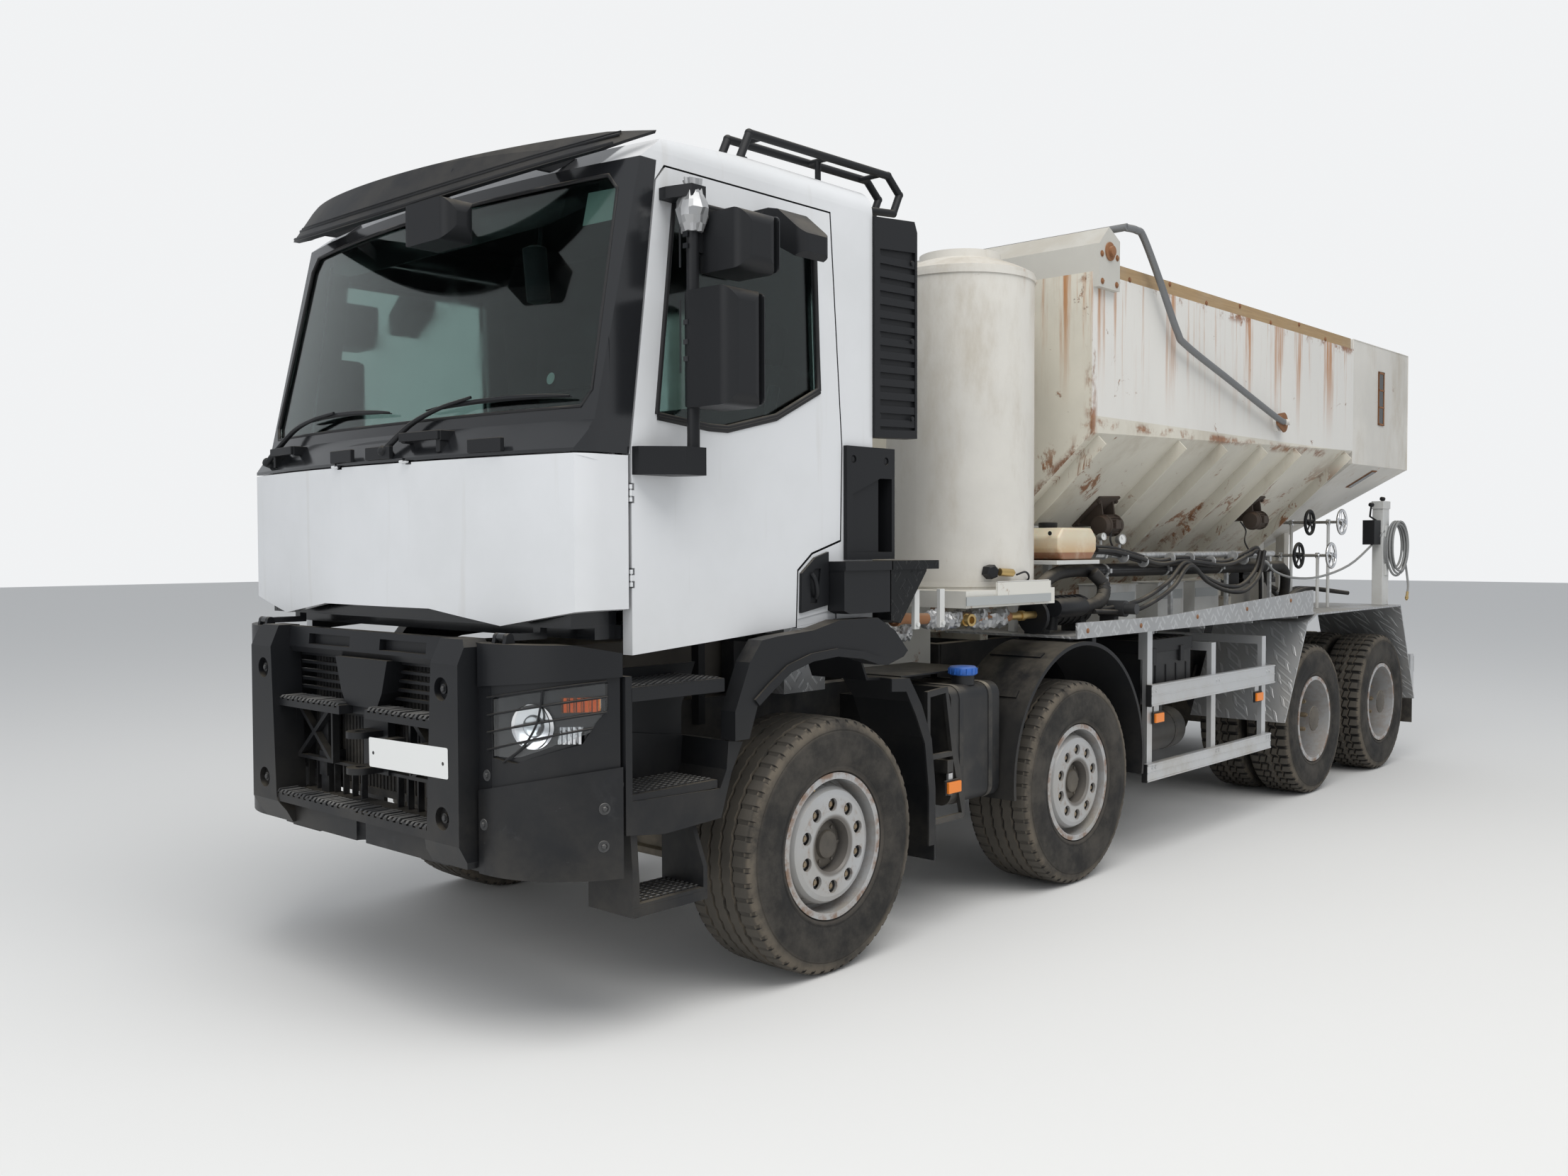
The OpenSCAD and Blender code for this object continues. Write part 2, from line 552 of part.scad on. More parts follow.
module water_tanks() color(cream) from_axle() both_sides() translate([tank_x, tank_y, 1530]) {
  rotate_extrude() {
    square([tank_r, 1560]);
    translate([0, 12]) square([tank_r + 6, 26]);
    translate([0, 1520]) square([tank_r + 7, 24]);
    intersection() {
      translate([0, 1560 - 640]) circle(r = 740);
      square([tank_r, 1700]);
    }
    square([205, 1668]);
  }
}

module pump_tray() color(steel) from_axle() {
  difference() {
    block(-1790, -1005, -1190, 1190, 1450, 1529.7);
    block(-1750, -1045, -1150, 1150, 1449, 1490);
  }
  both_sides() block(-1735, -1255, 1189, 1201, 1490, 1566);
  both_sides() block(-1780, -1120, 345, rail_y, rail_top + 0.3, 1492);
  translate([-2450, 960, 1390]) rotate([0, 90, 0]) cylinder(d = 150, h = 520);
  for (x = [-2380, -2000]) block(x - 30, x + 30, 900, 1020, 1274.3, 1380);
  for (x = [-2420:60:-2000]) translate([x, 960, 1390]) rotate([0, 90, 0]) cylinder(d = 164, h = 22);
  translate([inlet_x, 1000, 1390]) rotate([-90, 0, 0]) cylinder(d = 90, h = 160);
  translate([inlet_x, 1150, 1390]) rotate([-90, 0, 0]) cylinder(r = inlet_r, h = 75);
  block(inlet_x - 25, inlet_x + 25, 1010, 1100, 1274.3, 1380);
  bar([-2440, 960, 1390], [inlet_x, 1060, 1390], 60);
}

module tarp_housing() color(cream) from_axle() {
  side_slab(-hopper_y - 0.3, hopper_y + 0.3) polygon([[-2058, 3150.3], [-2058, 3290], [-2160, 3388],
    [-2275, 3330], [-2275, 3150.3], [-2265, 3150.3], [-2265, 3320], [-2160, 3372], [-2068, 3285],
    [-2068, 3150.3]]);
  both_sides() side_slab(hopper_y + 0.3, hopper_y + 35) polygon([[-2058, 3070], [-2058, 3290], [-2160, 3388],
    [-2275, 3330], [-2275, 3070]]);
}

module arm_side() side_slab(1290, 1318) difference() {
  union() {
    polygon([[-4436, 2490], [-4400, 2490], [-2910, 2870], [-2450, 3400], [-2260, 3385], [-2260, 3415],
      [-2480, 3435], [-2950, 2905], [-4426, 2570]]);
    translate([arm_pivot_x, arm_pivot_z]) circle(d = 130);
  }
  translate([arm_pivot_x, arm_pivot_z]) circle(d = 40 + 2 * fit);
}

module tarp_arms() color(dark) from_axle() {
  both_sides() arm_side();
  translate([-2290, 1318, 3405]) rotate([90, 0, 0]) cylinder(d = 40, h = 2636);
}

module pipework() color(steel) from_axle() {
  bar([-2900, 980, 1680], [-5050, 980, 1680], 42);
  bar([-2500, 980, 1600], [-5200, 980, 1590], 66);
  for (x = [-2700, -3500, -4300, -5000]) block(x - 15, x + 15, 970, 990, 1274.3, 1600);
  for (x = [-3500, -4300, -5000]) block(x - 15, x + 15, 970, 990, 1590, 1680);
}

module vibrators() color(dark) from_axle() both_sides() on_slope() for (x = [-1050, 1050]) {
  block(x - 130, x + 130, 620, 880, -12, -0.3);
  translate([x - 110, 750, -110]) rotate([0, 90, 0]) cylinder(d = 170, h = 220);
  block(x - 90, x + 90, 660, 840, -110, -12);
}

module controls() color(white) from_axle() {
  both_sides() block(-6900, -6760, 1080, 1160, 1266.3, 2080);
  both_sides() for (p = [[-6100, 1910], [-5890, 1660]]) {
    bar([p[0], 640, p[1]], [p[0], 1110, p[1]], 24);
    for (y = [700, 980]) block(p[0] - 20, p[0] + 20, y - 6, y + 6, 1266.3, p[1]);
    for (y = [850, 1090]) translate([p[0], y, p[1]]) rotate([90, 0, 0]) {
      difference() {
        cylinder(d = 200, h = 20);
        translate([0, 0, -1]) cylinder(d = 160, h = 22);
      }
      translate([-90, -8, 2]) cube([180, 16, 14]);
      translate([-8, -90, 2]) cube([16, 180, 14]);
    }
  }
}

module outlet() color(steel) from_axle() {
  block(-7150, -5900, -300, 300, sub_top, 1430);
  block(swing_x + 100, rail_rear_x - 0.3, -rail_y, rail_y, 800, 1000);
  difference() {
    translate([swing_x, 0, 800]) cylinder(d = 300, h = 200);
    translate([swing_x, 0, 799]) cylinder(d = 80 + 2 * fit, h = 202);
  }
}

module turntable() color(dark) from_axle() translate([swing_x, 0, 0]) {
  translate([0, 0, 790]) cylinder(d = 80, h = 215);
  translate([0, 0, 1000.3]) cylinder(d = 280, h = 50);
  both_sides() difference() {
    block(-60, 60, 125, 145, 1050, 1260);
    translate([0, 150, 1200]) rotate([90, 0, 0]) cylinder(d = 50 + 2 * fit, h = 40);
  }
}

module boom() color(cream) from_axle() translate([swing_x, 0, boom_z]) rotate([0, stow_angle, 0]) {
  translate([0, 155, 0]) rotate([90, 0, 0]) cylinder(d = 50, h = 310);
  difference() {
    length_slab(-boom_len, 60) {
      circle(d = boom_d);
      translate([-boom_d / 2, 0]) square([boom_d, boom_d / 2 + 15]);
    }
    length_slab(-boom_len - 1, 20) circle(d = boom_d - 16);
  }
}

// The cab's form, drawn in by an inset
module cab_profile(i, floor_z) {
  r = cab_bow_r - cab_front_x;
  polygon([[0, floor_z + i], [r + 1345 - i, floor_z + i], [r + 1345 - i, 2080], [r + 1275 - i, 2180],
    [r + 1068 - i, 3120], [r + 960 - i, 3205 - i], [r + 300, cab_roof_z - i], [0, cab_roof_z - i]]);
}
// Place of the cab's front header at a height between 3120 and 3205, 0.4 mm clear of it
function head_x(z, y) = cab_front_x - cab_bow_r + 0.4
  + sqrt(pow(cab_bow_r - cab_front_x + 1068 - (z - 3120) * 108 / 85, 2) - pow(max(0, abs(y) - 10), 2));
module cab_form(i, floor_z) intersection() {
  translate([cab_front_x - cab_bow_r, 0, 0]) rotate_extrude($fn = 360) cab_profile(i, floor_z);
  length_slab(cab_rear_x + i, 2000) round_rect(-cab_y + i, cab_y - i, 1000, cab_roof_z - i, 110);
  union() {
    block(cab_rear_x + i, 1100, -cab_y + i, cab_y - i, 1000, 3300);
    translate([0, 0, 1000]) linear_extrude(1150) round_rect(0, cab_front_x - i, -cab_y + i, cab_y - i, 200);
    translate([1290, 0, 2150]) rotate([0, -12.2, 0]) translate([0, 0, -80]) linear_extrude(1400)
      round_rect(-1000, -i, -cab_y + i, cab_y - i, 150);
  }
}
module cab_skin(i, t, floor_z) difference() {
  cab_form(i, floor_z);
  cab_form(i + t, floor_z);
}
// Door outline seen from the side, drawn in by g all round
module door_outline(g) {
  polygon([[1010 - g, 1350 + g], [1010 - g, 2092], [885 - g, 3050], [840 - g, 3110 - g], [-85 + g, 3110 - g],
    [-160 + g, 2150], [-150 + g, 1760 + g], [30 + g, 1708 + g], [118 + g, 1640 + g], [128 + g, 1410 + g],
    [560, 1380 + g]]);
}
module door_window(g) {
  polygon([[880 - g, 2215 + g], [620, 2190 + g], [520, 2190 + g], [248, 2253 + g], [-10 + g, 2378 + g],
    [15 + g, 3000 - g], [790 - g, 3000 - g]]);
}
module screen_outline(g) {
  polygon([[-1075 - g, 2228 - g], [1075 + g, 2228 - g], [1112 + g, 2285], [1072 + g, 3010], [1020, 3068 + g],
    [-1020, 3068 + g], [-1072 - g, 3010], [-1112 - g, 2285]]);
}
module flap_outline(g) {
  polygon([[-1200, 1530 + g], [-775, 1460 + g], [-380, 1512 + g], [380, 1512 + g], [775, 1460 + g],
    [1200, 1530 + g], [1200, 2062 - g], [-1200, 2062 - g]]);
}
module cab_shell() color(white) from_axle() {
  difference() {
    union() {
      cab_skin(0, cab_wall, cab_floor_z);
      both_sides() block(1000, 1205, 1030, 1060, 1455, 2100);
      block(1165, 1205, -1060, 1060, 1455, 2100);
    }
    both_sides() side_slab(cab_y - cab_wall - 10, cab_y + 20) door_outline(0);
    difference() {
      block(1010, 1500, -1300, 1300, 1300, 2068);
      block(900, 1206, -1061, 1061, 1300, 2200);
    }
    block(1100, 1300, -1100, 1100, 1300, 1455);
    length_slab(900, 1500) screen_outline(0);
    length_slab(cab_rear_x - 10, cab_rear_x + cab_wall + 10) round_rect(-450, 450, 2400, 2860, 60);
    both_sides() side_slab(cab_y - 6, cab_y + 10) polygon([[124, 1418], [124, 1448], [-120, 1482], [-120, 1440]]);
    for (y = flap_hinges) block(flap_x - 16, flap_x + 20, y - 26, y + 1, flap_z - 20, flap_z + 14);
  }
  both_sides() {
    difference() {
      union() {
        translate([tilt_x, tilt_y + 20, tilt_z]) rotate([90, 0, 0]) cylinder(d = 32, h = 40);
        block(1170, tilt_x, tilt_y - 20, tilt_y + 20, tilt_z - 12, tilt_z + 12);
        block(1170, 1200, tilt_y - 20, tilt_y + 20, tilt_z - 12, 1460);
      }
      translate([tilt_x, tilt_y + 80, tilt_z]) rotate([90, 0, 0]) cylinder(d = tilt_pin_d + 2 * fit, h = 160);
    }
    for (z = door_hinges) {
      for (k = [0, 45.6]) {
        translate([door_x, cab_y, z + k]) cylinder(d = hinge_d, h = 15);
        block(door_x, door_x + hinge_d / 2, 1059, cab_y, z + k, z + k + 15);
      }
      translate([door_x, cab_y, z]) cylinder(d = hinge_d / 2, h = 60);
    }
  }
  for (y = flap_hinges) {
    translate([flap_x, y + 25, flap_z]) rotate([90, 0, 0]) cylinder(d = hinge_d, h = 24.7);
    block(flap_x - 30, flap_x, y + 0.3, y + 25, flap_z + 3.5, flap_z + hinge_d / 2);
    translate([flap_x, y + 25, flap_z]) rotate([90, 0, 0]) cylinder(d = hinge_d / 2, h = 50);
  }
}

module cab_glass() color("#31454a") from_axle() {
  intersection() {
    cab_skin(12, glass_t, cab_floor_z);
    length_slab(900, 1500) screen_outline(-0.3);
  }
  length_slab(cab_rear_x + 12, cab_rear_x + 18) round_rect(-449.7, 449.7, 2400.3, 2859.7, 60);
}

module cab_trim() color(dark) from_axle() both_sides() {
  difference() {
    side_slab(1100, 1165) polygon([[-660, 2215], [-660, 3120], [-640, 3165], [cab_rear_x - 0.3, 3140],
      [cab_rear_x - 0.3, 2205]]);
    side_slab(1152, 1180) polygon([[-645, 2250], [-645, 3030], [-395, 3010], [-395, 2240]]);
  }
  for (k = [0:12]) side_slab(1151, 1163) translate([-646, 2262 + k * 58])
    polygon([[0, 0], [252, -8], [252, 24], [0, 32]]);
  difference() {
    union() {
      block(-490, cab_rear_x - 0.3, 1050, cab_y + 20, 1684, 2160);
      block(-490, -166, cab_y + 0.3, cab_y + 20, 1684, 2160);
    }
    block(-470, cab_rear_x - 30, 1080, cab_y + 40, 1715, 2030);
    side_slab(cab_y + 8, cab_y + 40) polygon([[-390, 1715], [-205, 1715], [-205, 1960], [-390, 2030]]);
    for (x = [-210, -430]) translate([x, cab_y + 30, 2105]) rotate([90, 0, 0]) cylinder(d = 34, h = 16);
  }
  side_slab(cab_y + 0.3, 1240) polygon([[-368, 1644], [-63, 1644], [-63, 1476], [-100, 1462], [-368, 1462]]);
  block(-368, -60, cab_y + 0.3, 1250, 1640, 1678);
  difference() {
    side_slab(cab_y + 0.3, cab_y + 14) polygon([[116, 1472], [112, 1632], [28, 1695], [-55, 1718], [-55, 1500]]);
    side_slab(cab_y + 6, cab_y + 30) polygon([[60, 1510], [60, 1625], [30, 1650], [-5, 1650], [20, 1510]]);
  }
}

// The sun visor: radius and middle of its lower edge, its height and the radius of its curve
visor_r = 1985;
visor_x = -520;
visor_low = 2960;
visor_lift = 2925;
module visor_section() {
  polygon([[visor_r, visor_low - 30], [visor_r, visor_low], [visor_r - 125, 3160], [visor_r - 175, 3225],
    [visor_r - 187, 3217], [visor_r - 138, 3152], [visor_r - 14, visor_low - 30]]);
}
function visor_back(y) = visor_x + sqrt(pow(visor_r - 132, 2) - y * y);
module roof_fittings() color(dark) from_axle() {
  intersection() {
    translate([visor_x, 0, 0]) rotate_extrude($fn = 240) visor_section();
    length_slab(700, 1500) difference() {
      intersection() {
        translate([0, visor_low + visor_lift]) circle(r = visor_lift, $fn = 300);
        polygon([[-1172, 3238], [-1000, 3128], [-1000, 2900], [1000, 2900], [1000, 3128], [1172, 3238], [1172, 3400],
          [-1172, 3400]]);
      }
      translate([0, 3152 + 7000]) circle(r = 7000, $fn = 700);
    }
  }
  for (y = [-760, 0, 760]) side_slab(y - 10, y + 10) polygon([[head_x(3150, y), 3150], [head_x(3190, y), 3190],
    [head_x(3190, y) + 20, 3205], [visor_back(y) + 2, 3150], [visor_back(y) + 24, 3110],
    [head_x(3150, y) + 60, 3115]]);
  intersection() {
    length_slab(1290, 1420) round_rect(360, 650, 2835, 2985, 50);
    translate([0, 0, 2800]) linear_extrude(200) round_rect(1290, 1420, 360, 650, 45);
  }
  bar([1360, 505, 2960], [visor_back(505) + 20, 505, 3120], 26);
  both_sides() {
    for (y = [1000, 880]) {
      translate([296, y, cab_roof_z + 0.3]) cylinder(d = 64, h = 16);
      bar([296, y, cab_roof_z + 12], [240, y, 3388], 34);
      bar([240, y, 3388], [-660, y, 3400], 34);
      bar([-660, y, 3400], [-745, y, 3330], 34);
      bar([-745, y, 3330], [-697.5, y, 3235], 34);
      bar([-707, y, 3240], [cab_rear_x - 8, y, 3205], 34);
      block(cab_rear_x - 14, cab_rear_x - 0.3, y - 32, y + 32, 3172, 3238);
      for (p = [[240, 3388], [-660, 3400], [-745, 3330]]) translate([p[0], y, p[1]]) sphere(d = 37);
    }
    for (x = [150, -250, -600]) bar([x, 880, 3392], [x, 1000, 3392], 22);
    bar([-250, 940, cab_roof_z + 0.3], [-250, 940, 3390], 26);
  }
  translate([60, 700, cab_roof_z + 0.3]) {
    cylinder(d = 150, h = 30);
    cylinder(d = 100, h = 90);
    translate([-110, -40, 0]) cylinder(d = 70, h = 60);
  }
}

module cab_interior() color(dark) from_axle() {
  for (y = [-600, 600]) {
    block(0, 500, y - 240, y + 240, 1700, 1900);
    translate([-60, y, 1901]) rotate([0, -12, 0]) {
      block(-50, 60, -230, 230, -60, 620);
      for (k = [-60, 60]) block(-5, 10, k - 8, k + 8, 600, 660);
      block(-40, 50, -140, 140, 640, 820);
    }
    block(60, 400, y - 150, y + 150, cab_floor_z + cab_wall + 0.3, 1701);
  }
  length_slab(740, 1060) polygon([[-1029.7, 1900], [1029.7, 1900], [1029.7, 2150], [-1029.7, 2150]]);
  translate([590, -600, 2170]) rotate([0, -25, 0]) {
    rotate_extrude() translate([215, 0]) circle(d = 30);
    for (a = [30, 150, 270]) rotate([0, 0, a]) block(40, 212, -14, 14, -6, 6);
    translate([0, 0, -260]) cylinder(d = 90, h = 270);
  }
  block(600, 745, -640, -560, 1905, 1990);
}

module door(s) from_axle() mirror([0, s, 0]) difference() {
  union() {
    difference() {
      intersection() {
        cab_skin(0, cab_wall, 1300);
        side_slab(cab_y - cab_wall - 5, cab_y + 20) door_outline(panel_gap);
      }
      side_slab(cab_y - cab_wall - 10, cab_y + 20) door_window(0);
      for (z = door_hinges, k = [0, 45.6]) block(990, 1020, 1050, 1200, z + k - 5, z + k + 20);
    }
    for (z = door_hinges) {
      translate([door_x, cab_y, z + 20.3]) cylinder(d = hinge_d, h = 20);
      block(985, door_x, cab_y - 20, cab_y - 3.3, z + 20.3, z + 40.3);
    }
  }
  for (z = door_hinges) translate([door_x, cab_y, z]) cylinder(d = hinge_d / 2 + 2 * fit, h = 60);
}
module door_left() color(white) door(0);
module door_right() color(white) door(1);
module door_glass(s) from_axle() mirror([0, s, 0]) side_slab(cab_y - 30, cab_y - 24) door_window(0.3);
module glass_left() color("#31454a") door_glass(0);
module glass_right() color("#31454a") door_glass(1);

// A mirror's housing with round edges seen from above and from the front
module housing(x0, x1, y0, y1, z0, z1, r) intersection() {
  translate([0, 0, z0]) linear_extrude(z1 - z0) round_rect(x0, x1, y0, y1, r);
  length_slab(x0 - 1, x1 + 1) round_rect(y0, y1, z0, z1, r);
}
module mirrors(s) from_axle() mirror([0, s, 0]) {
  housing(650, 830, 1215, 1465, 2235, 2650, 48);
  housing(570, 760, 1215, 1465, 2718, 2930, 48);
  intersection() {
    length_slab(235, 400) polygon([[1195, 2930], [1195, 3005], [1250, 3022], [1300, 3010], [1425, 2905], [1425, 2838],
      [1385, 2822]]);
    translate([0, 0, 2800]) linear_extrude(300) round_rect(235, 400, 1195, 1425, 35);
  }
  bar([800, 1255, 2040], [800, 1255, 3005], 46);
  block(740, 800, 1241, 1269, 2790, 2860);
  translate([0, 0, 1995]) linear_extrude(100) polygon([[1000, cab_y + 0.3], [995, 1180], [870, 1290], [770, 1290],
    [760, 1230], [800, cab_y + 0.3]]);
  translate([0, 0, 2980]) linear_extrude(42) polygon([[865, cab_y + 0.3], [865, 1185], [835, 1288], [765, 1288],
    [765, 1215], [795, cab_y + 0.3]]);
  block(345, 375, cab_y + 0.3, 1230, 2990, 3030);
}

module mirrors_left() color(dark) mirrors(0);
module mirrors_right() color(dark) mirrors(1);

module front_flap() color(white) from_axle() difference() {
  union() {
    difference() {
      intersection() {
        cab_skin(0, 40, 1300);
        length_slab(1018, 1500) flap_outline(0);
      }
      for (y = flap_hinges) block(flap_x - 40, flap_x + 20, y - 5, y + 31, flap_z - 11, flap_z + 20);
    }
    for (y = flap_hinges) {
      translate([flap_x, y, flap_z]) rotate([90, 0, 0]) cylinder(d = hinge_d, h = 25);
      block(flap_x - 30, flap_x, y - 25, y, flap_z - hinge_d / 2, flap_z - 3.5);
    }
  }
  for (y = flap_hinges) translate([flap_x, y + 1, flap_z]) rotate([90, 0, 0])
    cylinder(d = hinge_d / 2 + 2 * fit, h = 50);
}

module knuckle(x, s) from_axle() translate([x, 0, 0]) mirror([0, s, 0]) translate([0, kingpin_y, wheel_z]) {
  difference() {
    union() {
      for (z = [-122, 66]) translate([0, 0, z]) cylinder(d = 96, h = 56);
      block(-50, 50, 20, 75, -122, 122);
    }
    translate([0, 0, -130]) cylinder(d = kingpin_d + 2 * fit, h = 260);
    translate([0, 0, -66]) cylinder(d = 110, h = 132);
  }
  translate([0, 60, 0]) rotate([-90, 0, 0]) cylinder(d = spindle_d, h = 190);
}
module knuckle_1_left() color(steel) knuckle(axle_x[0], 0);
module knuckle_1_right() color(steel) knuckle(axle_x[0], 1);
module knuckle_2_left() color(steel) knuckle(axle_x[1], 0);
module knuckle_2_right() color(steel) knuckle(axle_x[1], 1);

// A tyre's outline as (radius, width) points, centred on its own width
module tyre_ring(w) rotate([90, 0, 0]) rotate_extrude($fn = 72) {
  r0 = rim_d / 2 - 12;
  r1 = tyre_d / 2;
  polygon([[r0, -w / 2 + 35], [r0 + 90, -w / 2], [r1 - 90, -w / 2], [r1 - 20, -w / 2 + 14], [r1, -w / 2 + 34],
    [r1, w / 2 - 34], [r1 - 20, w / 2 - 14], [r1 - 90, w / 2], [r0 + 90, w / 2], [r0, w / 2 - 35]]);
}
module front_tyre(x, s) from_axle() translate([x, (1 - 2 * s) * front_tyre_y, wheel_z]) tyre_ring(front_tyre_w);
module rear_tyre(x, s) from_axle() translate([x, 0, wheel_z]) for (y = [outer_tyre_y, inner_tyre_y])
  translate([0, (1 - 2 * s) * y, 0]) tyre_ring(rear_tyre_w);

// The front wheel: rim, dished disc, hub and drum turned as one, outer face towards +Y
rim_r = rim_d / 2 - 12;
rim_t = 14;
flange_t = 9;
module ring_section(r0, r1, y0, y1) { translate([r0, y0]) square([r1 - r0, y1 - y0]); }
module front_wheel(x, s) from_axle() translate([x, 0, wheel_z]) mirror([0, s, 0]) rotate([-90, 0, 0]) {
  bore = spindle_d / 2 + fit;
  y1 = front_rim_y;
  y0 = front_rim_y - front_tyre_w + 40;
  rim_in = rim_r - rim_t;
  difference() {
    rotate_extrude($fn = 72) {
      ring_section(rim_in, rim_r, y0, y1);
      for (y = [y0, y1 - flange_t]) ring_section(rim_in, rim_d / 2, y, y + flange_t);
      polygon([[rim_in + 1, y1 - 118], [rim_in + 1, y1 - 104], [252, y1 - 84], [238, y1 - 34], [226, y1 - 14], [206, y1 - 6],
        [116, y1 - 6], [108, y1 - 14], [108, y1 - 78], [122, y1 - 78], [122, y1 - 20], [204, y1 - 20], [214, y1 - 26],
        [226, y1 - 42], [241, y1 - 94], [250, y1 - 108]]);
      ring_section(bore, 130, y1 - 250, y1 - 76);
      ring_section(0, 96, y1 - 77, y1 - 62);
      ring_section(120, 240, y1 - 90, y1 - 78);
      ring_section(120, 204, y1 - 154, y1 - 140);
      ring_section(190, 204, y1 - 330, y1 - 140);
    }
    for (k = [0:9]) rotate([0, 0, k * 36 + 18]) translate([wheel_pcd / 2, 0, y1 - 40]) cylinder(d = 54, h = 60);
    for (k = [0:19]) rotate([0, 0, k * 18]) translate([248, 0, y1 - 112]) cylinder(d = 17, h = 120);
  }
  for (k = [0:9]) rotate([0, 0, k * 36 + 18]) translate([wheel_pcd / 2, 0, y1 - 79]) cylinder(d = 32, h = 56);
}
// The rear pair: two rims back to back on one hub and drum
module rear_wheel(x, s) from_axle() translate([x, 0, wheel_z]) mirror([0, s, 0]) rotate([-90, 0, 0]) {
  bore = spindle_d / 2 + fit;
  y1 = rear_rim_y;
  yc = rear_hub_y;
  y0 = 2 * yc - y1;
  rim_in = rim_r - rim_t;
  difference() {
    rotate_extrude($fn = 72) {
      ring_section(rim_in, rim_r, y0, y1);
      for (y = [y0, yc - 25, yc + 16, y1 - flange_t]) ring_section(rim_in, rim_d / 2, y, y + flange_t);
      polygon([[rim_in + 1, yc + 30], [rim_in + 1, yc + 52], [238, yc + 26], [205, yc + 12], [120, yc + 12],
        [120, yc - 12], [205, yc - 12], [238, yc + 4]]);
      ring_section(bore, 130, yc - 150, yc + 110);
      ring_section(bore, 105, yc + 109, yc + 140);
      ring_section(0, 92, yc + 140, yc + 160);
      ring_section(120, 204, yc - 40, yc - 26);
      ring_section(190, 204, y0 + 20, yc - 26);
    }
    for (k = [0:7]) rotate([0, 0, k * 45]) translate([232, 0, yc - 30]) cylinder(d = 46, h = 100);
  }
  for (k = [0:9]) rotate([0, 0, k * 36]) translate([wheel_pcd / 2, 0, yc + 11]) cylinder(d = 32, h = 34);
  for (k = [0:7]) rotate([0, 0, k * 45 + 9]) translate([112, 0, yc + 109]) cylinder(d = 16, h = 12);
}
module wheel_1_left() color(steel) front_wheel(axle_x[0], 0);
module wheel_1_right() color(steel) front_wheel(axle_x[0], 1);
module wheel_2_left() color(steel) front_wheel(axle_x[1], 0);
module wheel_2_right() color(steel) front_wheel(axle_x[1], 1);
module wheel_3_left() color(steel) rear_wheel(axle_x[2], 0);
module wheel_3_right() color(steel) rear_wheel(axle_x[2], 1);
module wheel_4_left() color(steel) rear_wheel(axle_x[3], 0);
module wheel_4_right() color(steel) rear_wheel(axle_x[3], 1);
module tyre_1_left() color(rubber) front_tyre(axle_x[0], 0);
module tyre_1_right() color(rubber) front_tyre(axle_x[0], 1);
module tyre_2_left() color(rubber) front_tyre(axle_x[1], 0);
module tyre_2_right() color(rubber) front_tyre(axle_x[1], 1);
module tyre_3_left() color(rubber) rear_tyre(axle_x[2], 0);
module tyre_3_right() color(rubber) rear_tyre(axle_x[2], 1);
module tyre_4_left() color(rubber) rear_tyre(axle_x[3], 0);
module tyre_4_right() color(rubber) rear_tyre(axle_x[3], 1);

frame();
deck();
axles();
springs();
engine();
bumper();
lamps();
side_steps();
wheel_arches();
chassis_tanks();
guards();
hopper();
side_boards();
cement_bin();
water_tanks();
pump_tray();
tarp_housing();
pipework();
vibrators();
controls();
outlet();
cab_shell();
cab_glass();
cab_trim();
roof_fittings();
cab_interior();
door_left();
door_right();
glass_left();
glass_right();
mirrors_left();
mirrors_right();
front_flap();
tarp_arms();
bin_hatch();
turntable();
boom();
knuckle_1_left();
knuckle_1_right();
knuckle_2_left();
knuckle_2_right();
wheel_1_left();
wheel_1_right();
wheel_2_left();
wheel_2_right();
wheel_3_left();
wheel_3_right();
wheel_4_left();
wheel_4_right();
tyre_1_left();
tyre_1_right();
tyre_2_left();
tyre_2_right();
tyre_3_left();
tyre_3_right();
tyre_4_left();
tyre_4_right();
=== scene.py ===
# %% [markdown]
# # Dressing a volumetric mixer truck
# The solids of this truck come ready made, each in its place, in metres. This lesson gives them their
# finishes and adds what is too fine for solids: tyre tread, wheel nuts, hoses, lamps, wipers and dirt.
# Loading the frame first fixes every place, so nothing here is fitted by eye.

# %% Load the frame
import bpy, bmesh, json, math, random
from mathutils import Matrix, Vector, noise

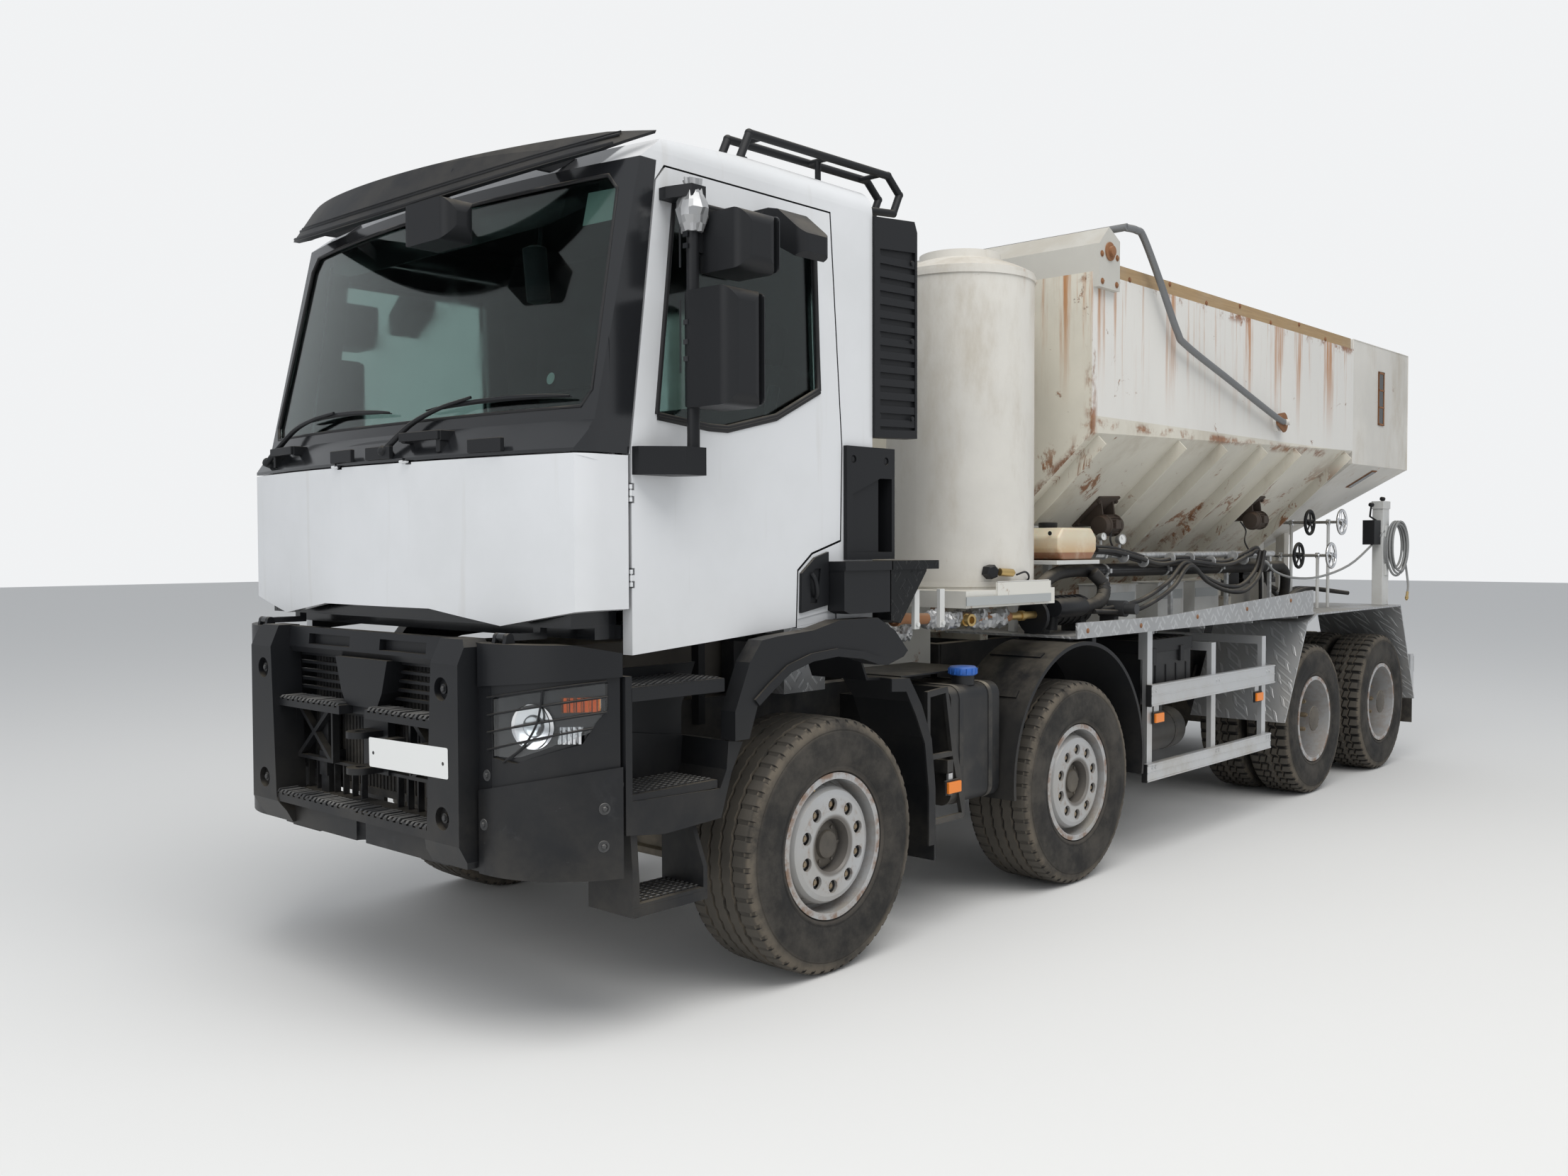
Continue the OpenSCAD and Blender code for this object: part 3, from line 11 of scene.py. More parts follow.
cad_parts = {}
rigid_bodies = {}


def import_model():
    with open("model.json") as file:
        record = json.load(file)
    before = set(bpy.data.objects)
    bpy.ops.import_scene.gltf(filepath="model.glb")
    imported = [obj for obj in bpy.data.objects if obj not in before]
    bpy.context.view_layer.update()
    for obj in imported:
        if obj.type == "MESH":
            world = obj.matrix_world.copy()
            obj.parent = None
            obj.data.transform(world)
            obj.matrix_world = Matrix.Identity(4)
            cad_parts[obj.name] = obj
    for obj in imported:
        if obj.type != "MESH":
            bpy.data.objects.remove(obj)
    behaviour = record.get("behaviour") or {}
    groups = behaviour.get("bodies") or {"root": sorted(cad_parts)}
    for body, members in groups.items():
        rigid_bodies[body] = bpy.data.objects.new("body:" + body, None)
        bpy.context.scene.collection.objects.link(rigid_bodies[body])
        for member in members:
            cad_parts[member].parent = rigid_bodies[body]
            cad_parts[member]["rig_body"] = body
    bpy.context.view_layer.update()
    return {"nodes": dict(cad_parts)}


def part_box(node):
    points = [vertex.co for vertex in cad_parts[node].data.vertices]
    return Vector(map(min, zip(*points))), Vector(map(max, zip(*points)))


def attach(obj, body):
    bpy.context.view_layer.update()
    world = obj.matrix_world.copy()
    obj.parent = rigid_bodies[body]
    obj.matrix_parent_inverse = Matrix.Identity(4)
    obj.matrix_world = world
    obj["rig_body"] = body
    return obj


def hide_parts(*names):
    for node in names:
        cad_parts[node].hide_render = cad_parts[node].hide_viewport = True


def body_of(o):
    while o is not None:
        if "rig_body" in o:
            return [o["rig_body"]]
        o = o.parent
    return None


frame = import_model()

# %% [markdown]
# The makers of the truck measured along it from the first axle, so we do the same. `X0` is that axle's
# place in the frame, and `at` turns a place from the first axle into one in the frame.

# %% Where the axles are
def middle(node):
    low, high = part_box(node)
    return (low + high) / 2

X0 = middle("tyre_1_left").x
AXLES = [middle(f"tyre_{i}_left").x for i in (1, 2, 3, 4)]
WHEEL_Z = middle("tyre_1_left").z

DECK_TOP, REAR_DECK_TOP = 1.2745, 1.2663        # where boxes and posts stand, ahead and behind

def at(x, y, z):
    return Vector((x + X0, y, z))

print("first axle at", round(X0, 3), "axles", [round(a, 3) for a in AXLES])

# %% [markdown]
# The camera stands where the photographer stood: low, ahead of the left front corner. The lens is worked
# out from the round wheel rims, so the cab looms as it does to the eye at that distance.

# %% Camera
EYE = at(4.1328, 4.7140, 1.7435)
YAW, PITCH, ROLL = 0.7368, 0.0317, -0.0026
ahead = Vector((-math.cos(YAW) * math.cos(PITCH), -math.sin(YAW) * math.cos(PITCH), -math.sin(PITCH)))
sideways = ahead.cross(Vector((0, 0, 1))).normalized()
upwards = sideways.cross(ahead)
right = sideways * math.cos(ROLL) + upwards * math.sin(ROLL)
up = upwards * math.cos(ROLL) - sideways * math.sin(ROLL)
camera = bpy.data.objects.new("camera", bpy.data.cameras.new("camera"))
camera.data.lens, camera.data.sensor_width = 30.65, 36
camera.data.clip_end = 200
camera.matrix_world = Matrix((right, up, -ahead)).transposed().to_4x4()
camera.location = EYE
bpy.context.scene.collection.objects.link(camera)
bpy.context.scene.camera = camera
print("camera", [round(v, 2) for v in EYE], "lens", camera.data.lens)

# %% [markdown]
# A cloudy sky is one big soft lamp. The world gives most of the light, and one broad area lamp from the
# front left keeps a gentle shadow side, so the panels read as curved without any hard glare.

# %% Sky, lamps and floor
scene = bpy.context.scene
scene.view_settings.view_transform = "Standard"
world = bpy.data.worlds.new("overcast sky")
scene.world = world
world.use_nodes = True
sky = world.node_tree
sky.nodes.clear()

def sky_node(kind, **values):
    made = sky.nodes.new(kind)
    for key, value in values.items():
        made.inputs[key].default_value = value
    return made

lit = sky_node("ShaderNodeBackground", Color=(0.93, 0.96, 1.0, 1), Strength=0.56)
seen = sky_node("ShaderNodeBackground", Color=(0.88, 0.89, 0.90, 1), Strength=1.0)
path = sky.nodes.new("ShaderNodeLightPath")
either = sky.nodes.new("ShaderNodeMath")
either.operation = "MAXIMUM"
blend_sky = sky.nodes.new("ShaderNodeMixShader")
sky_out = sky.nodes.new("ShaderNodeOutputWorld")
sky.links.new(path.outputs["Is Camera Ray"], either.inputs[0])
sky.links.new(path.outputs["Is Transmission Ray"], either.inputs[1])
sky.links.new(either.outputs[0], blend_sky.inputs[0])
sky.links.new(lit.outputs[0], blend_sky.inputs[1])
sky.links.new(seen.outputs[0], blend_sky.inputs[2])
sky.links.new(blend_sky.outputs[0], sky_out.inputs[0])

def area_lamp(name, place, aim, size, power, colour=(1, 1, 1)):
    lamp = bpy.data.lights.new(name, "AREA")
    lamp.shape, lamp.size, lamp.size_y = "RECTANGLE", size[0], size[1]
    lamp.energy, lamp.color = power, colour
    holder = bpy.data.objects.new(name, lamp)
    holder.location = place
    holder.rotation_euler = (Vector(aim) - Vector(place)).to_track_quat("-Z", "Y").to_euler()
    scene.collection.objects.link(holder)
    return holder

area_lamp("cloud", (4, 5, 11), (0, 0, 1), (12, 9), 950, (1, 0.98, 0.95))
area_lamp("front fill", (12, 1, 4), (2, 0, 1.6), (7, 5), 150)

floor = bpy.data.objects.new("floor", bpy.data.meshes.new("floor"))
floor.data.from_pydata([(-60, -60, 0), (60, -60, 0), (60, 60, 0), (-60, 60, 0)], [], [(0, 1, 2, 3)])
scene.collection.objects.link(floor)

# %% [markdown]
# Every finish is a small graph of nodes. `Finish` keeps the writing short: each method adds one node and
# hands back its output. Places come from Object coordinates, which stay with a piece when it moves, so a
# rust streak on a door swings with the door. `Field` lets Python's own signs add the Math nodes: `a * b` covers
# where both hold, `a | b` takes the larger, `a & b` the smaller, and `1.0 - a` turns a mask round.

# %% Fields, which are values that change from place to place
class Field:
    def __init__(self, finish, socket):
        self.finish, self.socket = finish, socket

    def __add__(self, other):
        return self.finish.math("ADD", self, other)

    def __radd__(self, other):
        return self.finish.math("ADD", other, self)

    def __sub__(self, other):
        return self.finish.math("SUBTRACT", self, other)

    def __rsub__(self, other):
        return self.finish.math("SUBTRACT", other, self)

    def __mul__(self, other):
        return self.finish.math("MULTIPLY", self, other)

    def __rmul__(self, other):
        return self.finish.math("MULTIPLY", other, self)

    def __or__(self, other):
        return self.finish.math("MAXIMUM", self, other)

    def __and__(self, other):
        return self.finish.math("MINIMUM", self, other)

    def __abs__(self):
        return self.finish.math("ABSOLUTE", self)

print("a field knows", [name for name in vars(Field) if name.startswith("__r")], "for numbers on its left")

# %% A maker of finishes
class Finish:
    def __init__(self, name, colour=(0.5, 0.5, 0.5), rough=0.5, metal=0.0, **sockets):
        self.material = bpy.data.materials.new(name)
        self.material.use_nodes = True
        self.tree = self.material.node_tree
        self.tree.nodes.clear()
        self.shader = self.tree.nodes.new("ShaderNodeBsdfPrincipled")
        out = self.tree.nodes.new("ShaderNodeOutputMaterial")
        self.tree.links.new(self.shader.outputs[0], out.inputs[0])
        self.shader.inputs["Base Color"].default_value = (*colour, 1)
        self.shader.inputs["Roughness"].default_value = rough
        self.shader.inputs["Metallic"].default_value = metal
        for key, value in sockets.items():
            self.shader.inputs[key.replace("_", " ")].default_value = value
        self.place = self.add("ShaderNodeTexCoord").outputs["Object"]

    def add(self, kind, **props):
        made = self.tree.nodes.new(kind)
        for key, value in props.items():
            setattr(made, key, value)
        return made

    def feed(self, socket, value):
        value = value.socket if isinstance(value, Field) else value
        if isinstance(value, bpy.types.NodeSocket):
            self.tree.links.new(value, socket)
        elif hasattr(socket.default_value, "__len__") and len(socket.default_value) == 4:
            socket.default_value = (*value, 1) if len(value) == 3 else value
        else:
            socket.default_value = value

    def math(self, how, a, b=0.0, clamp=False):
        made = self.add("ShaderNodeMath", operation=how, use_clamp=clamp)
        self.feed(made.inputs[0], a)
        self.feed(made.inputs[1], b)
        return Field(self, made.outputs[0])

    def capped(self, a, b):
        """A sum that stops at 1."""
        return self.math("ADD", a, b, clamp=True)

    def stretched(self, scale):
        made = self.add("ShaderNodeMapping")
        self.feed(made.inputs["Vector"], self.place)
        made.inputs["Scale"].default_value = scale
        return made.outputs[0]

    def noise(self, scale, detail=4.0, stretch=None, rough=0.55, warp=0.0):
        made = self.add("ShaderNodeTexNoise")
        self.feed(made.inputs["Vector"], self.stretched(stretch) if stretch else self.place)
        for key, value in (("Scale", scale), ("Detail", detail), ("Roughness", rough), ("Distortion", warp)):
            made.inputs[key].default_value = value
        return Field(self, made.outputs[0])

    def cells(self, scale, feature="F1", stretch=None):
        made = self.add("ShaderNodeTexVoronoi", feature=feature)
        self.feed(made.inputs["Vector"], self.stretched(stretch) if stretch else self.place)
        made.inputs["Scale"].default_value = scale
        return Field(self, made.outputs[0])

    def step(self, value, low, high):
        """0 below low, 1 above high, smooth between."""
        made = self.add("ShaderNodeMapRange", interpolation_type="SMOOTHSTEP")
        self.feed(made.inputs["Value"], value)
        made.inputs["From Min"].default_value = low
        made.inputs["From Max"].default_value = high
        return Field(self, made.outputs[0])

    def patches(self, low, high, scale, detail=4.0, **more):
        """1 where a noise is above high, 0 where it is below low."""
        return self.step(self.noise(scale, detail, **more), low, high)

    def mix(self, share, a, b):
        made = self.add("ShaderNodeMix", data_type="RGBA")
        self.feed(made.inputs[0], share)
        self.feed(made.inputs[6], a)
        self.feed(made.inputs[7], b)
        return Field(self, made.outputs[2])

    def parts(self, vector):
        made = self.add("ShaderNodeSeparateXYZ")
        self.feed(made.inputs[0], vector)
        return [Field(self, output) for output in made.outputs]

    def axes(self):
        return self.parts(self.place)

    def facing_in(self, centre):
        """1 where a face looks towards a centre, as the inner skin of a box does."""
        coords = self.add("ShaderNodeTexCoord")
        way = self.add("ShaderNodeVectorMath", operation="SUBTRACT")
        way.inputs[0].default_value = centre
        self.feed(way.inputs[1], self.place)
        dot = self.add("ShaderNodeVectorMath", operation="DOT_PRODUCT")
        self.feed(dot.inputs[0], coords.outputs["Normal"])
        self.feed(dot.inputs[1], way.outputs[0])
        return self.step(dot.outputs["Value"], 0.0, 0.02)

    def facing(self):
        """How far a face looks along X, Y and Z."""
        return self.parts(self.add("ShaderNodeNewGeometry").outputs["Normal"])

    def relief(self, height, strength=0.3, distance=0.002):
        made = self.add("ShaderNodeBump")
        self.feed(made.inputs["Height"], height)
        made.inputs["Strength"].default_value = strength
        made.inputs["Distance"].default_value = distance
        self.feed(self.shader.inputs["Normal"], made.outputs[0])

    def colour(self, value):
        self.feed(self.shader.inputs["Base Color"], value)
        return self

    def rough(self, value):
        self.feed(self.shader.inputs["Roughness"], value)
        return self

FINISH = {}
DUST = (0.40, 0.35, 0.27)
print("a finish can", [name for name in vars(Finish) if not name.startswith("_")])

# %% [markdown]
# Dust is what ties a working truck together. It settles on faces that look up and is thrown up from the
# road on what is low. The same two rules, in different strengths, are used for every finish below.

# %% Dust and grime
def dusted(f, clean, ledge=0.5, low=0.35, top=1.6, patch=3.0, tint=DUST):
    """Mixes dust over a clean colour: on ledges, and thinning out from the ground to the height top."""
    height = f.axes()[2]
    blotch = f.noise(patch, 6.0, rough=0.65)
    lying = f.step(f.facing()[2], 0.35, 0.95) * f.step(blotch, 0.3, 0.65)
    thrown = (1.0 - f.step(height, 0.2, top)) * f.step(blotch, 0.35, 0.7)
    share = f.capped(lying * ledge, thrown * low)
    return f.mix(share, clean, tint), share

def keep(name, f):
    FINISH[name] = f.material
    return f.material

ground = Finish("pale floor", (0.80, 0.80, 0.79), 0.9)
floor.data.materials.append(ground.material)
print("floor finish ready", ground.material.name)

# %% [markdown]
# Cab paint: satin white, cleaner than the rest because it is washed. A fine roughness mottle stops the
# large plain panels from looking like plastic. The windscreen surround is the same sheet metal in black,
# so it is masked by place: ahead of the sloping door line and between the sill and the roof edge. The
# roof edge under the visor, across the middle, is painted visor shadow in the same black. Faces that
# look into the cab are painted near black: their dark trim, with the shade inside the cab painted in.

# %% Cab paints
def cab_paint(name, surround_and_visor_shadow):
    f = Finish(name, rough=0.3, Coat_Weight=0.35, Coat_Roughness=0.12)
    mottle = f.noise(1.4, 5.0, rough=0.6)
    white = f.mix(f.step(mottle, 0.35, 0.7), (0.74, 0.755, 0.775), (0.69, 0.705, 0.72))
    drip = f.noise(9.0, 3.0, stretch=(1.6, 1.6, 0.12))
    white = f.mix(f.step(drip, 0.6, 0.78) * 0.16, white, (0.46, 0.43, 0.38))
    dirty, share = dusted(f, white, ledge=0.22, low=0.5, top=1.75, patch=2.2)
    if surround_and_visor_shadow:
        x, y, z = f.axes()
        door_line = x + (z - 2.092) * 0.13
        band = f.step(z, 2.0655, 2.0665) * (1.0 - f.step(z, 3.118, 3.121))
        band = band | 1.0 - f.step(z, 1.528, 1.532)
        # The strip from z 3.10 to 3.21, within |y| < 0.98, is painted visor shadow in the surround's near black.
        visor_shadow = f.step(z, 3.1, 3.11) * (1.0 - f.step(z, 3.205, 3.215))
        band = band | visor_shadow * (1.0 - f.step(abs(y), 0.97, 0.99))
        mask = f.step(door_line, X0 + 1.008, X0 + 1.012) * band
        sill = (1.0 - f.step(z, 1.528, 1.532)) * f.step(x, X0 + 0.6, X0 + 0.61)
        mask = mask | sill
        dirty = f.mix(mask, dirty, (0.014, 0.015, 0.017))
    # Faces that look into the cab are painted near black: their dark trim, with the shade inside the cab painted in.
    dirty = f.mix(f.facing_in((X0 + 0.45, 0.0, 2.3)), dirty, (0.035, 0.036, 0.040))
    f.colour(dirty)
    f.rough(f.capped(share * 0.45, mottle * 0.35))
    f.relief(f.noise(160.0, 2.0), 0.04, 0.0005)
    return keep(name, f)

cab_paint("cab white", False)
cab_paint("cab shell paint", True)
print("cab paints ready")

# %% [markdown]
# The mixer body's paint is old. Rust starts where the paint is broken, spreads in blotches, and runs down
# in streaks, which are a noise stretched along Z. Edges of blotches go dark brown, fresh runs orange.

# %% Weathered cream paint
FOOT_X, FOOT_Y, FOOT_Z = -3.939, 0.262, 1.46    # where the hopper's slope starts

def cream_paint(name, colour, rust=1.0, streaks=1.0, top_rust=False):
    f = Finish(name, rough=0.55)
    cloud = f.noise(0.9, 6.0, rough=0.6)
    paint = f.mix(f.step(cloud, 0.3, 0.75), colour, tuple(c * 0.80 for c in colour))
    grime = f.noise(2.6, 8.0, stretch=(1.0, 1.0, 0.35), rough=0.7)
    paint = f.mix(f.step(grime, 0.48, 0.75) * 0.55, paint, (0.42, 0.36, 0.27))
    run = f.noise(5.0, 5.0, stretch=(1.7, 1.7, 0.10), rough=0.7)
    where = f.noise(0.55, 3.0)
    runs = f.step(run, 0.6, 0.72) * f.step(where, 0.42, 0.62)
    paint = f.mix(runs * (0.85 * streaks), paint, (0.36, 0.17, 0.06))
    z = f.axes()[2]
    if top_rust:
        x, y, _ = f.axes()
        wide = abs(y)
        side = f.step(wide, 1.243, 1.247)
        paint = f.mix(side * f.step(z, 2.41, 2.415) * 0.7, paint, (0.76, 0.755, 0.74))
        drip = f.patches(0.5, 0.64, 6.5, 6.0, stretch=(1.3, 1.3, 0.05), rough=0.75) * f.step(z, 2.4, 3.1)
        paint = f.mix(drip * 0.9, paint, (0.44, 0.185, 0.05))
        knee = f.step(wide, 1.17, 1.2) * f.patches(0.49, 0.6, 3.0, 7.0, rough=0.72)
        knee = (1.0 - f.step(abs(z - 2.375), 0.008, 0.036)) * knee
        rim = f.step(z, 3.085, 3.135) * f.patches(0.5, 0.6, 4.0, 7.0, rough=0.75)
        knee = knee | rim
        foot = (1.0 - f.step(z, 1.62, 1.95)) * f.patches(0.51, 0.63, 8.0, 7.0, rough=0.75)
        blot = f.step(z, 1.6, 1.8) * (1.0 - f.step(z, 2.15, 2.36))
        blot = blot * f.patches(0.575, 0.62, 2.3, 9.0, stretch=(1.0, 1.0, 0.7), rough=0.78, warp=0.9)
        front = f.step(x, X0 - 2.12, X0 - 2.07) * f.step(wide, 1.19, 1.24)
        front = front * f.patches(0.47, 0.58, 5.0, 7.0, stretch=(1, 1, 0.4), rough=0.7)
        worn = knee | foot | (blot | front)
        paint = f.mix(worn * 0.92, paint, f.mix(f.noise(30.0, 4.0), (0.1, 0.04, 0.02), (0.42, 0.17, 0.055)))
        old = f.mix(f.noise(3.0, 7.0, rough=0.7), (0.16, 0.09, 0.05), (0.34, 0.27, 0.20))
        fallen = z - FOOT_Z + (x - (X0 + FOOT_X)) * 0.0262
        depth = fallen * 0.735 - (wide - FOOT_Y) * 0.678
        seam = (1.0 - f.step(depth, 0.012, 0.05)) * f.patches(0.44, 0.56, 4.5, 7.0, rough=0.75)
        seam = seam * f.step(x, X0 - 2.0585, X0 - 2.0565) * (1.0 - f.step(z, 2.37, 2.39))
        paint = f.mix(seam * 0.9, paint, (0.2, 0.08, 0.035))
        behind = f.step(depth, 0.004, 0.007) * (1.0 - f.step(wide, 1.243, 1.246))
        paint = f.mix(f.facing_in((X0 - 3.94, 0.0, 3.0)) * behind, paint, old)
    spot = f.noise(3.4, 9.0, rough=0.72, warp=0.6)
    spots = f.step(spot, 0.655 - 0.015 * rust, 0.70 - 0.015 * rust)
    crust = f.mix(f.patches(0.4, 0.6, 40.0, 4.0), (0.13, 0.055, 0.025), (0.30, 0.12, 0.04))
    paint = f.mix(spots * min(1.0, 0.9 * rust), paint, crust)
    paint, share = dusted(f, paint, ledge=0.6, low=0.6, top=2.0, patch=1.8)
    f.colour(paint)
    f.rough(f.capped(0.42, (spots + share) * 0.3))
    f.relief(spots * 0.6 + f.noise(70.0, 3.0), 0.22, 0.0015)
    return keep(name, f)

cream_paint("hopper cream", (0.70, 0.665, 0.575))
cream_paint("hopper side", (0.72, 0.69, 0.60), top_rust=True)
cream_paint("bin white", (0.72, 0.70, 0.65), rust=0.3, streaks=0.6)
cream_paint("white paint", (0.70, 0.71, 0.70), rust=0.4, streaks=0.4)
cream_paint("rusty grey", (0.40, 0.39, 0.36), rust=2.2, streaks=1.2)
print("weathered paints ready")

# %% [markdown]
# Plain finishes that need one idea each: grained plastic, sooty chassis paint, castings under oil and
# dust, rubber, silver wheel paint. Each is a colour that wanders a little, plus its own relief.

# %% Plastics, rubber and metals
def grained(name, colour, rough, metal=0.0, grain=220.0, depth=0.12, ledge=0.5, low=0.5, top=1.5, vary=0.25,
            tint=DUST, **sockets):
    f = Finish(name, rough=rough, metal=metal, **sockets)
    wander = f.noise(2.3, 5.0, rough=0.6)
    base = f.mix(wander, colour, tuple(min(1.0, c * (1 + vary * 2)) for c in colour))
    dirty, share = dusted(f, base, ledge, low, top, 3.5, tint)
    f.colour(dirty)
    f.rough(f.capped(rough - 0.08, (wander + share) * 0.18))
    f.relief(f.noise(grain, 3.0), depth, 0.001)
    return keep(name, f)

grained("black plastic", (0.0085, 0.0092, 0.0108), 0.48, ledge=0.24, low=0.08, top=1.3, Specular_IOR_Level=0.32)
grained("chassis paint", (0.018, 0.019, 0.021), 0.6, ledge=0.55, low=0.30, top=1.6, grain=90.0,
        Specular_IOR_Level=0.35)
grained("dirty casting", (0.085, 0.078, 0.070), 0.7, metal=0.3, ledge=0.8, low=0.7, grain=60.0, depth=0.35)
grained("hose rubber", (0.012, 0.012, 0.013), 0.5, grain=300.0, ledge=0.35, low=0.2, top=2.2, Specular_IOR_Level=0.35)
grained("aluminium", (0.62, 0.63, 0.64), 0.38, metal=0.75, ledge=0.35, low=0.4, top=1.4, vary=0.06, grain=130.0)
grained("seat cloth", (0.035, 0.036, 0.042), 0.9, grain=500.0, depth=0.3, ledge=0.15, low=0.0, Sheen_Weight=0.3)
grained("chrome", (0.75, 0.76, 0.78), 0.12, metal=1.0, ledge=0.1, low=0.1, grain=40.0, depth=0.02, vary=0.02)
grained("brass", (0.46, 0.33, 0.14), 0.4, metal=0.9, ledge=0.4, low=0.1)
grained("rust", (0.16, 0.075, 0.035), 0.85, grain=45.0, depth=0.5, ledge=0.3, low=0.3, vary=0.6)
grained("blue plastic", (0.02, 0.10, 0.38), 0.4, ledge=0.3, low=0.1)
grained("plate white", (0.80, 0.81, 0.80), 0.35, ledge=0.1, low=0.12, top=1.1, vary=0.01, grain=30.0, depth=0.03)
grained("sticker foil", (0.34, 0.345, 0.35), 0.38, metal=0.7, grain=25.0, depth=0.8, ledge=0.15, low=0.0)
grained("worn step rubber", (0.035, 0.036, 0.038), 0.7, grain=70.0, depth=0.9, ledge=0.75, low=0.15,
        tint=(0.30, 0.29, 0.27))
grained("mirror glass", (0.70, 0.73, 0.75), 0.04, metal=1.0, grain=20.0, depth=0.0, ledge=0.1, low=0.0)
grained("lamp black", (0.016, 0.017, 0.019), 0.22, grain=30.0, depth=0.02, ledge=0.2, low=0.06, top=1.2)
print("plain finishes:", len(FINISH))

# %% [markdown]
# Tyres need their own rubber: road dust packs into the sidewall, while the tread is scrubbed darker. The
# wheels' silver keeps its rust on the rim's edge and its grease on the hub. The distance from the nearest
# axle tells these places apart, so one finish serves all eight wheels and one all twelve tyres.

# %% Wheels and tyres
def from_axles(f):
    """Distance from the nearest axle line, for a wheel's finish."""
    x, _, z = f.axes()
    near = None
    for a in AXLES:
        d = abs(x - a)
        near = d if near is None else near & d
    up = z - WHEEL_Z
    return f.math("SQRT", near * near + up * up)

rim = Finish("wheel silver aged", rough=0.45, metal=0.3)
far = from_axles(rim)
silver, share = dusted(rim, rim.mix(rim.noise(3.0, 5.0), (0.50, 0.51, 0.52), (0.40, 0.405, 0.41)), 0.3, 0.30, 1.3)
edge = rim.step(far, 0.262, 0.29) * rim.patches(0.42, 0.62, 13.0, 6.0, rough=0.7)
silver = rim.mix(edge * 0.75, silver, (0.24, 0.12, 0.055))
hub = 1.0 - rim.step(far, 0.118, 0.132)
silver = rim.mix(hub * 0.8, silver, (0.13, 0.115, 0.1))
ring_rust = rim.step(far, 0.138, 0.15) - rim.step(far, 0.186, 0.198)
ring_rust = ring_rust * rim.patches(0.48, 0.66, 22.0, 5.0, rough=0.7)
rim.colour(rim.mix(ring_rust * 0.5, silver, (0.25, 0.15, 0.09)))
rim.rough(rim.capped(0.38, (share + edge) * 0.35))
rim.relief(edge * 0.8 + rim.noise(120.0, 3.0), 0.2, 0.001)
keep("wheel silver", rim)

rubber = Finish("tyre rubber aged", rough=0.78, Specular_IOR_Level=0.3)
far = from_axles(rubber)
wall = rubber.mix(rubber.patches(0.35, 0.70, 4.0, 7.0, rough=0.7), (0.020, 0.0195, 0.019), (0.066, 0.060, 0.052))
scrub = rubber.step(far, 0.455, 0.498) * rubber.patches(0.3, 0.62, 5.0, 6.0, rough=0.7)
wall = rubber.mix(scrub * 0.8, wall, (0.165, 0.14, 0.108))
bead = (1.0 - rubber.step(far, 0.3, 0.325)) * 0.5
wall = rubber.mix(bead, wall, (0.11, 0.095, 0.078))
groove = rubber.mix(rubber.noise(6.0, 6.0), (0.050, 0.047, 0.042), (0.115, 0.102, 0.084))
tread = rubber.mix(rubber.step(far, 0.510, 0.5185), (0.020, 0.019, 0.018), groove)
flank = rubber.step(abs(rubber.facing()[1]), 0.4, 0.75)
rubber.colour(rubber.mix(flank, tread, wall))
rubber.relief(rubber.noise(140.0, 3.0) + rubber.noise(24.0, 4.0), 0.25, 0.0012)
keep("tyre rubber aged", rubber)
print("wheel and tyre finishes follow", len(AXLES), "axles")

# %% [markdown]
# Glass and lenses let light through. A thin film of dirt makes them rough in places, which is what keeps
# old glass from looking like nothing at all.

# %% Glass and lenses
def glass_finish(name, colour, rough=0.03, dirt=0.25):
    f = Finish(name, colour, rough, Transmission_Weight=1.0, IOR=1.45)
    film = f.patches(0.45, 0.8, 2.2, 7.0, rough=0.7)
    f.rough(rough + film * dirt)
    return keep(name, f)

glass_finish("window glass", (0.36, 0.46, 0.44), dirt=0.12)
glass_finish("clear lens", (0.93, 0.95, 0.96), dirt=0.1)
glass_finish("amber lens", (1.0, 0.36, 0.03), 0.12)
glass_finish("red lens", (0.75, 0.03, 0.02), 0.12)
print("lenses and glass:", [name for name in FINISH if "lens" in name or "glass" in name])

# %% [markdown]
# Chequer plate is a bump, not geometry: short bars, turned one way in every other cell and the other way
# in between, come from two stretched sine waves. Galvanised steel gets its spangle from flat cells.

# %% Tread plate, zinc, wood
def tread_finish(name, colour, metal):
    f = Finish(name, rough=0.45, metal=metal)
    x, y, z = f.axes()
    bars = []
    v = y + z
    for sign in (1, -1):
        along = x + v * float(sign)
        across = x - v * float(sign)
        one = f.math("SINE", along * 95.0)
        two = f.math("SINE", across * 36.0)
        bars.append(f.step(one, 0.45, 0.8) * f.step(two, 0.1 * sign, 0.5))
    pattern = bars[0] | bars[1]
    base = f.mix(f.noise(1.6, 5.0), colour, tuple(c * 0.72 for c in colour))
    worn = f.mix(pattern * 0.5, base, tuple((min(1, c * 1.35) for c in colour)))
    worn = f.mix(f.step(x, X0 - 0.76, X0 - 0.75) * f.step(z, 1.39, 1.4), worn, (0.01, 0.011, 0.012))
    dirty, share = dusted(f, worn, ledge=0.45, low=0.4, top=1.6, patch=2.4)
    f.colour(dirty)
    f.rough(f.capped(0.36, share * 0.5))
    f.relief(pattern, 0.6, 0.003)
    return keep(name, f)

tread_finish("tread plate", (0.50, 0.51, 0.52), 0.55)

def zinc_finish():
    f = Finish("galvanised", rough=0.45, metal=0.6)
    spangle = f.cells(38.0)
    base = f.mix(f.step(spangle, 0.15, 0.75), (0.60, 0.61, 0.61), (0.44, 0.45, 0.46))
    dirty, share = dusted(f, base, ledge=0.5, low=0.35, top=1.8)
    white_rust = f.patches(0.56, 0.72, 6.0, 7.0, rough=0.7)
    f.colour(f.mix(white_rust * 0.4, dirty, (0.52, 0.5, 0.46)))
    f.relief(f.noise(80.0, 3.0), 0.15, 0.001)
    return keep("galvanised", f)

zinc_finish()

